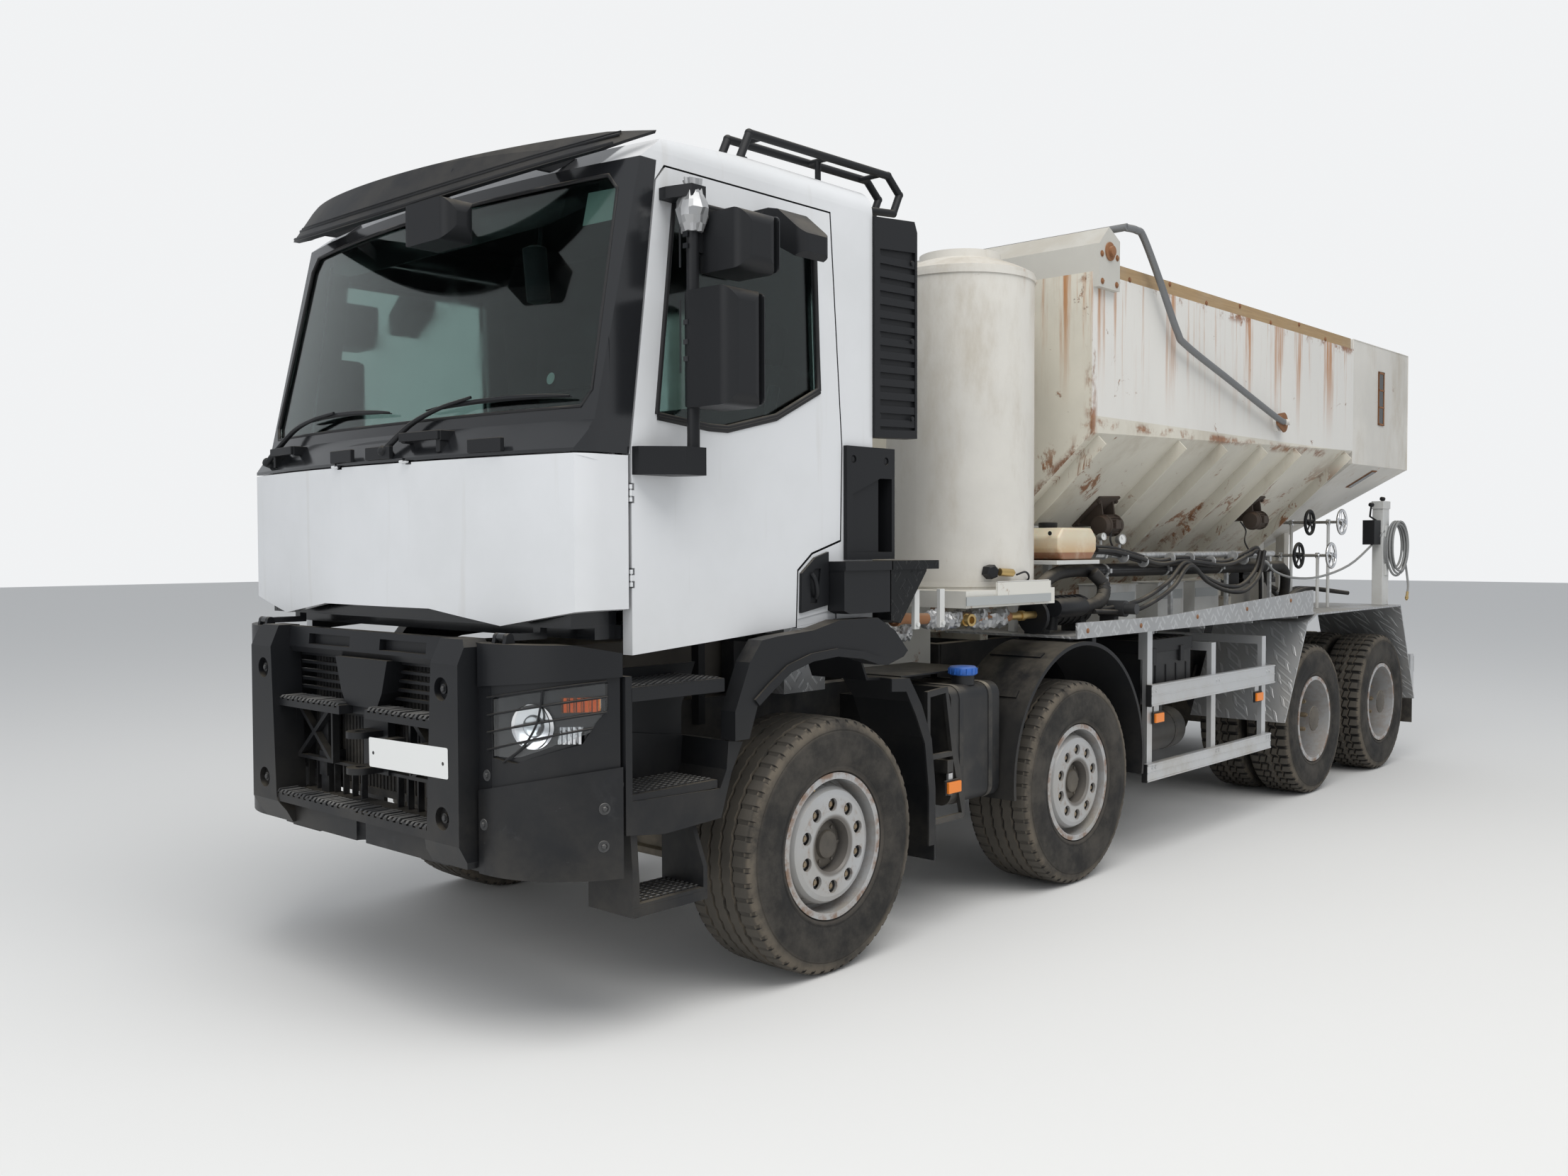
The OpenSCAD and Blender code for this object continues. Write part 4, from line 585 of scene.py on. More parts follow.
def wood_finish():
    f = Finish("old board", rough=0.8)
    rings = f.noise(7.0, 6.0, stretch=(0.45, 6.0, 9.0), rough=0.6, warp=0.8)
    grain = f.noise(60.0, 4.0, stretch=(0.12, 3.0, 3.0))
    base = f.mix(rings, (0.30, 0.19, 0.09), (0.54, 0.38, 0.20))
    base = f.mix(grain * 0.6, base, (0.26, 0.19, 0.12))
    f.colour(f.mix(f.patches(0.5, 0.8, 2.0, 5.0) * 0.5, base, (0.4, 0.36, 0.3)))
    f.relief(grain, 0.5, 0.002)
    return keep("old board", f)

wood_finish()

print("finishes:", len(FINISH))

# %% [markdown]
# Each solid gets its finish here, by name. The wheels, tanks and rails all read differently under dust,
# so each group keeps its own, and anything added later picks from the same shelf. The pump's tray, the
# tanks and the bumper get theirs further on, where their masks are explained.

# %% Finishes of the solids
PAINTS = {
    "chassis paint": ["frame", "springs", "turntable"],
    "dirty casting": ["axles", "engine", "knuckle_1_left", "knuckle_1_right", "knuckle_2_left", "knuckle_2_right"],
    "black plastic": ["side_steps", "wheel_arches", "cab_trim", "roof_fittings", "mirrors_left",
                      "mirrors_right", "cab_interior"],
    "tread plate": ["deck"],
    "galvanised": ["pipework"],
    "aluminium": ["guards"],
    "hopper side": ["hopper"],
    "hopper cream": ["boom"],
    "housing alloy": ["tarp_housing"],
    "old board": ["side_boards"],
    "bin white": ["cement_bin", "water_tanks"],
    "rusty grey": ["outlet", "bin_hatch"],
    "tarp steel": ["tarp_arms", "vibrators"],
    "white paint": ["controls"],
    "lamp black": ["lamps"],
    "cab shell paint": ["cab_shell"],
    "cab white": ["door_left", "door_right", "front_flap"],
    "window glass": ["cab_glass", "glass_left", "glass_right"],
    "wheel silver": [f"wheel_{i}_{s}" for i in (1, 2, 3, 4) for s in ("left", "right")],
    "tyre rubber aged": [f"tyre_{i}_{s}" for i in (1, 2, 3, 4) for s in ("left", "right")],
}
grained("housing alloy", (0.52, 0.51, 0.47), 0.5, metal=0.25, ledge=0.6, low=0.1, grain=90.0, depth=0.2, vary=0.12)
grained("tarp steel", (0.17, 0.175, 0.18), 0.5, metal=0.5, ledge=0.4, low=0.1, grain=90.0, depth=0.2)

def dress(node, finish):
    """Gives a solid one finish, in place of any that it had."""
    slots = frame["nodes"][node].data.materials
    slots.clear()
    slots.append(FINISH[finish])

for finish, nodes in PAINTS.items():
    for node in nodes:
        dress(node, finish)
print("solids painted:", sum(len(nodes) for nodes in PAINTS.values()), "of", len(frame["nodes"]))

# %% [markdown]
# New pieces are written straight in the frame's own coordinates, as the solids are. `piece` turns corner
# points and faces into an object, rounds what bends gently, keeps hard creases, and hangs it on its body.

# %% Making a piece
def piece(name, verts, faces, finish, body="chassis", crease=35, stands_for=(), ridge=0.0, steps=2):
    mesh = bpy.data.meshes.new(name)
    mesh.from_pydata([tuple(v) for v in verts], [], faces)
    work = bmesh.new()
    work.from_mesh(mesh)
    bmesh.ops.remove_doubles(work, verts=work.verts, dist=0.00001)
    bmesh.ops.recalc_face_normals(work, faces=work.faces)
    work.to_mesh(mesh)
    work.free()
    mesh.shade_smooth()
    mesh.set_sharp_from_angle(angle=math.radians(crease))
    made = bpy.data.objects.new(name, mesh)
    scene.collection.objects.link(made)
    mesh.materials.append(FINISH[finish])
    if ridge:
        edge = made.modifiers.new("edges", "BEVEL")
        edge.width, edge.segments, edge.limit_method, edge.angle_limit = ridge, steps, "ANGLE", math.radians(30)
        edge.harden_normals = True
    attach(made, body)
    if stands_for:
        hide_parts(*stands_for)
    return made

def around(count):
    """The angles that share out a full turn."""
    return [2 * math.pi * k / count for k in range(count)]

def rounded(y0, y1, z0, z1, radius, parts):
    """Points round a box with round corners. The numbers give the corners' centres."""
    return [(y + radius * math.cos(a), z + radius * math.sin(a))
            for y, z, first in ((y1, z1, 0), (y0, z1, 90), (y0, z0, 180), (y1, z0, 270))
            for a in (math.radians(first + 90 / parts * k) for k in range(parts + 1))]

def tube_faces(rings, sides):
    """Faces of a closed tube: quads from each ring of points to the next, and a cap at each end."""
    quads = [[j * sides + k, j * sides + (k + 1) % sides, (j + 1) * sides + (k + 1) % sides, (j + 1) * sides + k]
             for j in range(rings - 1) for k in range(sides)]
    last = (rings - 1) * sides
    return quads + [list(range(sides))[::-1], [last + k for k in range(sides)]]

print("eight sides have their corners at", [round(a, 2) for a in around(8)])

# %% [markdown]
# A truck has hundreds of bolts, bars and plates. As single objects they would be slow to handle, so a `Kit`
# collects their points and faces and builds one mesh of them. `prism` makes what is cut from plate, `turned`
# what comes off a lathe, and `rod` what is bent from round bar.

# %% A kit for small solids
class Kit:
    """Collects many small solids into one mesh: bolts, bars, plates."""
    def __init__(self):
        self.verts, self.faces = [], []

    def take(self, verts, faces):
        base = len(self.verts)
        self.verts += [Vector(v) for v in verts]
        self.faces += [[base + i for i in face] for face in faces]
        return self

    def prism(self, outline, near, far):
        """A straight solid: the same ring of points twice, moved from near to far."""
        n = len(outline)
        ring = [Vector(p) + Vector(near) for p in outline] + [Vector(p) + Vector(far) for p in outline]
        sides = [[i, (i + 1) % n, n + (i + 1) % n, n + i] for i in range(n)]
        return self.take(ring, sides + [list(range(n))[::-1], list(range(n, 2 * n))])

    def brick(self, low, high):
        (a, b, c), (d, e, f) = low, high
        return self.prism([(a, b, 0), (d, b, 0), (d, e, 0), (a, e, 0)], (0, 0, c), (0, 0, f))

    def turned(self, profile, place, axis, sides=24, phase=0.0):
        """A lathe: profile is (distance along axis, radius) from end to end."""
        axis = Vector(axis).normalized()
        one = axis.orthogonal().normalized()
        two = axis.cross(one)
        ring = []
        for along, radius in profile:
            for turn in (phase + a for a in around(sides)):
                ring.append(Vector(place) + axis * along + (one * math.cos(turn) + two * math.sin(turn)) * radius)
        return self.take(ring, tube_faces(len(profile), sides))

    def rod(self, points, radius, sides=12):
        """A round bar along points, kept round at its bends."""
        points = [Vector(p) for p in points]
        ring = []
        side = None
        for i, p in enumerate(points):
            back = (p - points[i - 1]).normalized() if i else None
            on = (points[i + 1] - p).normalized() if i < len(points) - 1 else None
            way = ((back or on) + (on or back)).normalized()
            side = (way.orthogonal() if side is None else side - way * side.dot(way)).normalized()
            other = way.cross(side)
            stretch = 1.0 if not (back and on) else 1.0 / max(0.5, way.dot(on))
            size = radius(i / (len(points) - 1)) if callable(radius) else radius
            for turn in around(sides):
                ring.append(p + (side * math.cos(turn) + other * math.sin(turn)) * size * min(stretch, 1.3))
        return self.take(ring, tube_faces(len(points), sides))

    def mirrored(self):
        """The same again on the other side of the truck."""
        n = len(self.verts)
        self.verts += [Vector((v.x, -v.y, v.z)) for v in self.verts]
        self.faces += [[n + i for i in face][::-1] for face in list(self.faces)]
        return self

    def build(self, name, finish, body="chassis", **more):
        return piece(name, self.verts, self.faces, finish, body, **more)

def curved(points, per=6):
    """A smooth path through points, as a hose or a bent tube takes it."""
    points = [Vector(p) for p in points]
    ends = [points[0] * 2 - points[1]] + points + [points[-1] * 2 - points[-2]]
    path = []
    for i in range(1, len(ends) - 2):
        a, b, c, d = ends[i - 1:i + 3]
        for k in range(per):
            t = k / per
            path.append(0.5 * ((2 * b) + (c - a) * t + (2 * a - 5 * b + 4 * c - d) * t * t
                               + (3 * b - a - 3 * c + d) * t ** 3))
    return path + [points[-1]]

def bolts(kit, places, axis, size=0.012, tall=0.008, washer=True):
    for p in places:
        if washer:
            kit.turned([(0, size * 1.5), (0.002, size * 1.5)], p, axis, 14)
        kit.turned([(0.002, size), (tall * 0.85, size), (tall, size * 0.8)], p, axis, 6)
    return kit

# %% [markdown]
# A tyre is one closed skin: rows of points across it, from bead to bead, turned round the axle. Grooves
# are rows that drop; the zigzag is the same rows pushed left and right at every other column. The drive
# tyres get cross cuts as well, which makes blocks of the ribs.

# %% Tyres with tread
def tyre_rows(half, drive):
    """(radius, y, zigzag share, cross cut) from the inner bead to the outer one."""
    side = [(0.2870, 0.034), (0.2980, 0.0315), (0.3060, 0.018), (0.3180, 0.011), (0.3270, 0.0135), (0.3450, 0.004),
            (0.3750, 0.0005), (0.4050, 0.0), (0.4110, 0.0012), (0.4180, 0.0), (0.4420, 0.0022), (0.4660, 0.0070),
            (0.4700, 0.0105), (0.4760, 0.0080), (0.4880, 0.0100)]
    rows = [(r, half - y, 0.0, 0.0) for r, y in side]
    rows += [(0.5000, half - 0.0130, 0.0, 0.003), (0.5100, half - 0.0200, 0.0, 0.006),
             (0.5165, half - 0.0300, 0.0, 0.008)]
    land = half - 0.036
    zig, deep = (0.007, 0.016) if drive else (0.0035, 0.011)
    cut = 0.013 if drive else 0.004
    rows.append((0.5190, land, 0.0, cut))
    for centre in (0.60, 0.20):
        y = land * centre
        shoulder = cut if centre == 0.60 or drive else 0.0
        rows += [(0.5205, y + 0.0075, zig, shoulder), (0.5210 - deep, y + 0.0050, zig, 0.0),
                 (0.5210 - deep, y - 0.0050, zig, 0.0), (0.5212, y - 0.0075, zig, cut * 0.6 if drive else 0.0)]
    rows.append((0.5218, 0.0, 0.0, 0.0))
    return rows + [(r, -y, z, c) for r, y, z, c in rows[-2::-1]]

def tyre(kit, centre, width, drive):
    rows = tyre_rows(width / 2, drive)
    pitches = 46 if drive else 54
    columns = [(0.0, -1, 0), (0.62, 1, 0), (0.68, 1, 1), (0.93, -1, 1)]
    ring, faces = [], []
    for k in range(pitches):
        for share, way, cut in columns:
            turn = 2 * math.pi * (k + share) / pitches
            for r, y, zig, depth in rows:
                radius = r - depth * cut
                ring.append((centre[0] + radius * math.cos(turn), centre[1] + y + zig * way,
                             centre[2] + radius * math.sin(turn)))
    n, m = len(rows), pitches * len(columns)
    for k in range(m):
        for j in range(n):
            a, b = k * n + j, k * n + (j + 1) % n
            c, d = ((k + 1) % m) * n + (j + 1) % n, ((k + 1) % m) * n + j
            faces.append([a, b, c, d])
    return kit.take(ring, faces)

for side in ("left", "right"):
    for number in (1, 2, 3, 4):
        node = f"tyre_{number}_{side}"
        low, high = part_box(node)
        body = body_of(frame["nodes"][node])[0]
        kit = Kit()
        if number < 3:
            tyre(kit, (low + high) / 2, high.y - low.y, False)
        else:
            wide = (high.y - low.y - 0.034) / 2
            for y in (low.y + wide / 2, high.y - wide / 2):
                tyre(kit, ((low.x + high.x) / 2, y, (low.z + high.z) / 2), wide, True)
        made = kit.build(f"tyre_{number}_{side}_treaded", "tyre rubber aged", body, crease=28, stands_for=[node])
print("tyre mesh:", len(made.data.polygons), "faces in a twin pair")

# %% [markdown]
# The cab's front is bowed, so what lies on it must follow the bow. `nose` gives the place ahead at any
# width and height, and `corner` does the same for the rounded ends of the bumper.

# %% Places on the bowed front
BOW_BACK = 4.755                                # how far the bow's centre lies behind the first axle
PANEL_REACH, PANEL_TOP = 1.345, 2.08            # the flat front panel
SCREEN_REACH, SCREEN_LOW, LEAN = 1.275, 2.18, 0.2202
CORNER_X, CORNER_Y, CORNER_R = 0.96, 0.8, 0.418

def nose(y, z, out=0.0):
    if z < PANEL_TOP:
        reach = PANEL_REACH
    elif z < SCREEN_LOW:
        reach = PANEL_REACH - (z - PANEL_TOP) * 0.70
    else:
        reach = SCREEN_REACH - (z - SCREEN_LOW) * LEAN
    return at(-BOW_BACK + math.sqrt((BOW_BACK + reach + out) ** 2 - y * y), y, z)

def corner(y, z, radius=CORNER_R):
    return at(CORNER_X + math.sqrt(max(0.0, radius ** 2 - (y - CORNER_Y) ** 2)), y, z)

def outward(y):
    return Vector((math.sqrt(max(0.0, CORNER_R ** 2 - (y - CORNER_Y) ** 2)), y - CORNER_Y, 0)).normalized()

print("bow at the middle of the screen:", [round(v, 3) for v in nose(0, 2.6)])

# %% [markdown]
# Head lamps: a chrome bowl with a thick lens, an amber and a clear lamp beside it, one curved cover over
# all, and the steel guard in front, whose bars climb as they go back. The left lamp is then mirrored.

# %% Head lamps
def bowl(kit, y, z, wide, deep, sides=28):
    p = corner(y, z, 0.402)
    return kit.turned([(0.0005, wide * 0.42), (deep, wide * 0.50), (deep + 0.002, wide * 0.50), (deep, wide * 0.46),
                       (0.003, wide * 0.30), (0.0028, 0.004)], p, outward(y), sides)

chrome = bowl(Kit(), 0.991, 1.123, 0.160, 0.012)
for y0, y1, z0, z1 in ((1.080, 1.158, 1.172, 1.222), (1.064, 1.126, 1.062, 1.122)):
    for k in range(5):
        a, b = y0 + (y1 - y0) * k / 5, y0 + (y1 - y0) * (k + 0.8) / 5
        ring = [corner(a, z0, 0.4035), corner(b, z0, 0.4035), corner(b, z0, 0.412), corner(a, z0, 0.407)]
        chrome.prism(ring, (0, 0, 0), (0, 0, z1 - z0))
chrome.mirrored().build("lamp_bowls", "chrome", crease=40)

lens = Kit().turned([(0.001, 0.040), (0.005, 0.038), (0.009, 0.028), (0.011, 0.010), (0.0112, 0.001)],
                    corner(0.991, 1.123, 0.4045), outward(0.991), 28)
lens.mirrored().build("projector_lens", "clear lens", crease=60)

def pane(kit, y0, y1, low, high, radius, thick=0.002, parts=12):
    """A curved pane on the corner: low and high give its edges at a share from front to back."""
    ring = []
    for k in range(parts + 1):
        s = k / parts
        y = y0 + (y1 - y0) * s
        for r in (radius, radius + thick):
            for z in (low(s), high(s)):
                ring.append(corner(y, z, r))
    faces = []
    for k in range(parts):
        a, b = k * 4, (k + 1) * 4
        for i, j in ((0, 1), (1, 3), (3, 2), (2, 0)):
            faces.append([a + i, a + j, b + j, b + i])
    faces += [[0, 1, 3, 2], [parts * 4, parts * 4 + 2, parts * 4 + 3, parts * 4 + 1]]
    return kit.take(ring, faces)

cover = pane(Kit(), 0.842, 1.176, lambda s: 1.012 + 0.165 * max(0.0, s - 0.28) ** 1.3, lambda s: 1.210 + 0.060 * s,
             0.4155)
cover.mirrored().build("lamp_cover", "clear lens", crease=60)
amber = pane(Kit(), 1.078, 1.160, lambda s: 1.170, lambda s: 1.224, 0.4115, 0.0015, 4)
amber.mirrored().build("indicator_lens", "amber lens", crease=60)

guard = Kit()
for z0, z1 in ((1.214, 1.278), (1.152, 1.224), (1.092, 1.171), (1.031, 1.117)):
    end = 1.180 if z0 > 1.05 else 1.156
    guard.rod([corner(0.815 + (end - 0.815) * k / 12, z0 + (z1 - z0) * k / 12, 0.4235) for k in range(13)], 0.0038, 8)
guard.rod(curved([corner(y, z, 0.4245) for y, z in ((1.036, 1.250), (1.030, 1.19), (1.014, 1.123), (0.97, 1.05),
                                                     (0.891, 0.993))], 5), 0.004, 8)
guard.mirrored().build("lamp_guard", "black plastic", crease=60)
print("lamp pieces made; projector at", [round(v, 3) for v in corner(0.991, 1.123)])

# %% [markdown]
# The number plate hangs a little askew across the left pillar and is left blank. The bumper's bolts sit
# in their own round dimples, drawn as a dark dished washer with a hexagon on it.

# %% Plate and bumper bolts
plate = Kit()
w, h, r = 0.26, 0.0555, 0.008
outline = rounded(-(w - r), w - r, -(h - r), h - r, r, 3)
lean = math.radians(1.0)
for grow, x0, x1 in ((1.0, 1.4652, 1.4663), (0.985, 1.4663, 1.4667)):
    ring = [at(0, 0.435 + (a * math.cos(lean) - b * math.sin(lean)) * grow, 0.974 + (a * math.sin(lean) + b) * grow)
            for a, b in outline]
    plate.prism(ring, (x0, 0, 0), (x1, 0, 0))
plate.build("number_plate_blank", "plate white", crease=30)
screws = Kit()
for y in (0.205, 0.665):
    screws.turned([(0, 0.007), (0.0006, 0.0065), (0.001, 0.003)], at(1.4667, y, 0.972 + (y - 0.435) * 0.017),
                  (1, 0, 0), 12)
for y, low in ((0.20, 0.935), (0.42, 0.940)):
    screws.brick(at(1.36, y, low), at(1.4651, y + 0.06, 1.018))
screws.build("plate_screws", "chassis paint")

fixings = Kit()
for y, z in ((1.190, 0.916), (1.181, 0.838), (1.179, 0.708), (0.802, 0.767), (0.804, 0.939)):
    r = 0.432 if z < 0.90 else 0.418
    p = corner(min(y, 0.8 + r - 0.012), z, r - 0.001)
    way = outward(y)
    fixings.turned([(0, 0.021), (0.003, 0.020), (0.0015, 0.014), (0.0012, 0.013)], p, way, 20)
    fixings.turned([(0.001, 0.0085), (0.007, 0.0085), (0.009, 0.006)], p, way, 6)
fixings.mirrored().build("bumper_fixings", "worn step rubber", crease=30)
heads = Kit()
for y in (0.655, -0.655):
    for z in (0.779, 1.240):
        heads.turned([(0, 0.010), (0.006, 0.010), (0.008, 0.007)], at(1.4545, y, z), (1, 0, 0), 6)
heads.build("pillar_bolt_heads", "worn step rubber", crease=30)
print("a blank plate, and", len(fixings.faces) + len(heads.faces), "faces of bumper bolts")

# %% [markdown]
# Both front steps carry hard rubber teeth, worn grey where boots land. Each tooth is a short wedge, set a
# little unevenly so the row looks trodden rather than machined.

# %% Front step teeth
random.seed(4)
teeth = Kit()
for x0, x1, z, spread in ((1.335, 1.437, 1.120, 0.570), (1.365, 1.460, 0.730, 0.570)):
    y = -spread
    while y < spread:
        if not (z > 1.0 and abs(y + 0.01) < 0.105):
            up = z + random.uniform(0.007, 0.011)
            slant = random.uniform(-0.002, 0.002)
            ring = [at(x0, y, z - 0.002), at(x0 + 0.004, y + 0.003, up), at(x1 - 0.008, y + 0.003 + slant, up),
                    at(x1 + 0.002, y + slant, z - 0.004)]
            teeth.prism(ring, (0, 0, 0), (0, 0.017, 0))
        y += 0.0295
teeth.build("front_step_teeth", "worn step rubber", crease=30, ridge=0.002, steps=1)
side_teeth = Kit()
for x0, x1, z, y0, y1 in ((0.612, 1.045, 1.250, 0.955, 1.200), (0.640, 1.048, 0.872, 0.965, 1.195),
                          (0.700, 1.046, 0.484, 0.99, 1.198)):
    y = y0
    while y < y1 - 0.012:
        x = x0
        while x < x1 - 0.02:
            side_teeth.prism([at(x, y, z - 0.002), at(x + 0.004, y + 0.002, z + 0.005),
                              at(x + 0.018, y + 0.002, z + 0.005),
                              at(x + 0.022, y, z - 0.002)], (0, 0, 0), (0, 0.010, 0))
            x += 0.033
        y += 0.025
side_teeth.mirrored().build("side_step_teeth", "worn step rubber", crease=30)
print("teeth:", len(teeth.faces) // 6, "and", len(side_teeth.faces) // 6)

# %% [markdown]
# Wipers park along the bottom of the screen. Each arm leaves its pivot, stands off the glass, and carries
# a blade at its middle. The black cowl below holds two moulded hand grips for cleaning the screen.

# %% Wipers and cowl grips
wipers = Kit()
for pivot, elbow, hold, tip0, tip1 in (
        ((0.108, 2.103), (0.215, 2.205), (0.545, 2.292), (0.270, 2.262), (1.030, 2.268)),
        ((-0.985, 2.110), (-0.800, 2.240), (-0.420, 2.300), (-0.700, 2.285), (0.020, 2.272))):
    path = curved([nose(*pivot, 0.030), nose(*elbow, 0.038),
                   nose((elbow[0] + hold[0]) / 2, (elbow[1] + hold[1]) / 2 + 0.012, 0.034), nose(*hold, 0.026)], 5)
    wipers.rod(path, lambda s: 0.013 - 0.007 * s, 8)
    wipers.turned([(-0.03, 0.020), (0.036, 0.020), (0.042, 0.014)], nose(*pivot), (0.9, 0, 0.3), 14)
    blade = [nose(tip0[0] + (tip1[0] - tip0[0]) * k / 14,
                  tip0[1] + (tip1[1] - tip0[1]) * k / 14 + 0.012 * math.sin(math.pi * k / 14), 0.013)
             for k in range(15)]
    wipers.rod(blade, lambda s: 0.0075 * (1 - abs(2 * s - 1) ** 4) + 0.003, 6)
    wipers.rod([p + Vector((-0.009, 0, -0.004)) for p in blade], 0.0028, 4)
wipers.build("wipers", "black plastic", "cab", crease=50)
grips = Kit()
for y0, y1, post in ((0.215, 0.455, 0.44), (-0.93, -0.68, -0.91)):
    for k in range(8):
        a, b = y0 + (y1 - y0) * k / 8, y0 + (y1 - y0) * (k + 1) / 8
        grips.prism([nose(a, 2.140, 0.028), nose(b, 2.140, 0.028), nose(b, 2.140, 0.052), nose(a, 2.140, 0.052)],
                    (0, 0, 0), (0, 0, 0.034))
    for y in (y0 + 0.01, y1 - 0.01, post):
        tall = 0.062 if y == post else 0.02
        grips.prism([nose(y - 0.012, 2.155, -0.02), nose(y + 0.012, 2.155, -0.02), nose(y + 0.012, 2.155, 0.05),
                     nose(y - 0.012, 2.155, 0.05)], (0, 0, -tall), (0, 0, 0.02))
for y0, y1 in ((-0.02, 0.16), (-0.30, -0.12), (0.62, 0.80)):
    grips.prism([nose(y0, 2.075, -0.004), nose(y1, 2.075, -0.004), nose(y1, 2.075, 0.016), nose(y0, 2.075, 0.010)],
                (0, 0, 0.005), (0, 0, 0.055))
grips.build("cowl_grips", "black plastic", "cab", crease=40, ridge=0.004)
seal = Kit()
rim = [(-1.075, 2.228), (0, 2.224), (1.075, 2.228), (1.112, 2.285), (1.072, 3.010), (1.020, 3.068), (0, 3.070),
       (-1.020, 3.068), (-1.072, 3.010), (-1.112, 2.285)]
path = []
for k, (y, z) in enumerate(rim):
    y2, z2 = rim[(k + 1) % len(rim)]
    n = 16 if abs(y2 - y) > 0.5 else 6
    path += [nose(y + (y2 - y) * i / n, z + (z2 - z) * i / n, -0.003) for i in range(n)]
seal.rod(path + path[:1], 0.0075, 6)
seal.build("screen_seal", "hose rubber", "cab", crease=60)
print("wipers, grips and screen seal made")

# %% [markdown]
# The visor has a pressed rib along it and a rolled lower lip. The mirrors get their glass, which faces back,
# with joint lines round the housings. The left arm was broken once and is bound with crumpled silver tape.

# %% Visor rib, mirrors and tape
def visor(y, z, out=0.0):
    return at(-0.52 + math.sqrt((1.985 - (z - 2.96) * 0.625 + out) ** 2 - y * y), y, z)

RIB_HALF, RIB_BOW, RIB_TOP = 1.06, 2.925, 5.885     # half the ribs' length, their bow's radius and its centre
rib = Kit()
for raise_it, wide in ((0.050, 0.006), (0.062, 0.004), (0.012, 0.007)):
    rib.rod([visor(y, RIB_TOP - math.sqrt(RIB_BOW ** 2 - y ** 2) + raise_it, -0.001)
             for y in (RIB_HALF * (k / 20 - 1) for k in range(41))], wide, 6)
rib.build("visor_rib", "black plastic", "cab", crease=60)

for side, s, body in (("left", 1, "left_door"), ("right", -1, "right_door")):
    glass, joints = Kit(), Kit()
    for x, y0, y1, z0, z1 in ((0.6495, 1.245, 1.440, 2.265, 2.620), (0.5695, 1.245, 1.440, 2.745, 2.905)):
        ring = [at(0, s * y, z) for y, z in rounded(y0, y1, z0, z1, 0.018, 4)]
        glass.prism(ring, (x - 0.003, 0, 0), (x + 0.001, 0, 0))
        joints.prism(ring, (x - 0.0015, 0, 0), (x + 0.0015, 0, 0))
        for k in range(len(ring)):
            joints.rod([ring[k] + Vector((x - 0.004, 0, 0)), ring[(k + 1) % len(ring)] + Vector((x - 0.004, 0, 0))],
                       0.0035, 5)
    for z0, z1 in ((2.36, 2.62), (2.735, 2.90)):
        for y in (1.220, 1.2255):
            joints.brick(at(0.832, min(s * y, s * y + s * 0.003), z0), at(0.8335, max(s * y, s * y + s * 0.003), z1))
    for z in (2.40, 2.46, 2.53, 2.80, 2.84):
        joints.brick(at(0.8305, min(s * 1.238, s * 1.262), z), at(0.8325, max(s * 1.238, s * 1.262), z + 0.018))
    glass.build(f"mirror_glass_{side}", "mirror glass", body)
    joints.build(f"mirror_trim_{side}", "lamp black", body, crease=50)
tape = Kit()
random.seed(9)
rows = [(2.86 + 0.0265 * k, 0.031 + 0.024 * math.sin(0.45 + 0.42 * k) ** 2) for k in range(8)]
ring = []
for z, r in rows:
    for a in around(22):
        q = r + random.uniform(-0.006, 0.009)
        ring.append(at(0.800 + q * math.cos(a), 1.255 + q * math.sin(a), z + random.uniform(-0.004, 0.004)))
tape.take(ring, tube_faces(len(rows), 22))
tape.build("silver_tape", "sticker foil", "left_door", crease=12)
print("mirror pieces ride on left_door and right_door")

# %% [markdown]
# Along the hopper's foot runs all the plumbing. A ribbed hose is a rod whose radius swells at every turn
# of its spiral. Loose hoses hang in curves between their clips, as their weight makes them.

# %% Hoses and pipes along the deck
def ribbed(kit, path, radius, pitch=0.016, depth=0.0022, sides=14):
    """A hose with rings: the path is cut finely and the radius alternates."""
    fine = [path[0]]
    for a, b in zip(path, path[1:]):
        n = max(1, round((b - a).length / (pitch / 2)))
        fine += [a.lerp(b, (k + 1) / n) for k in range(n)]
    last = len(fine) - 1
    return kit.rod(fine, lambda s: radius + depth * (1 if round(s * last) % 2 else -1), sides)

def sweep(points, y, per=8):
    """Points are (x, z) or (x, z, y); y is used where a point has none."""
    return curved([at(p[0], p[2] if len(p) > 2 else y, p[1]) for p in points], per)

grained("grey hose", (0.20, 0.205, 0.205), 0.5, grain=200.0, ledge=0.4, low=0.1)
fat = Kit()
ribbed(fat, sweep([(-1.84, 1.515, 1.05), (-2.05, 1.585, 1.03), (-2.29, 1.604, 1.0), (-2.52, 1.600, 0.98)], 1.0, 4),
       0.034)
ribbed(fat, [at(-2.50, 0.98, 1.600), at(-5.20, 0.98, 1.590)], 0.0355)
ribbed(fat, sweep([(-5.18, 1.590, 0.98), (-5.30, 1.54, 0.97), (-5.40, 1.42, 0.93), (-5.46, 1.30, 0.88)], 0.98, 5),
       0.034)
ribbed(fat, sweep([(-2.44, 1.592, 1.04), (-2.49, 1.52, 1.08), (-2.42, 1.44, 1.10), (-2.24, 1.40, 1.09)], 1.05, 5),
       0.036)
fat.build("suction_hose", "hose rubber", crease=80)
loops = Kit()
for off in (0.0, 0.034):
    loops.rod(sweep([(-2.27 - off, 1.385), (-2.70, 1.405 - off), (-2.965, 1.445 - off), (-3.24, 1.53 - off),
                     (-3.46, 1.635 - off / 2),
                     (-3.70, 1.55 - off), (-3.99, 1.485 - off), (-4.25, 1.480 - off), (-4.47, 1.57 - off),
                     (-4.56, 1.70)],
                    1.10 + off * 0.8), 0.0135, 10)
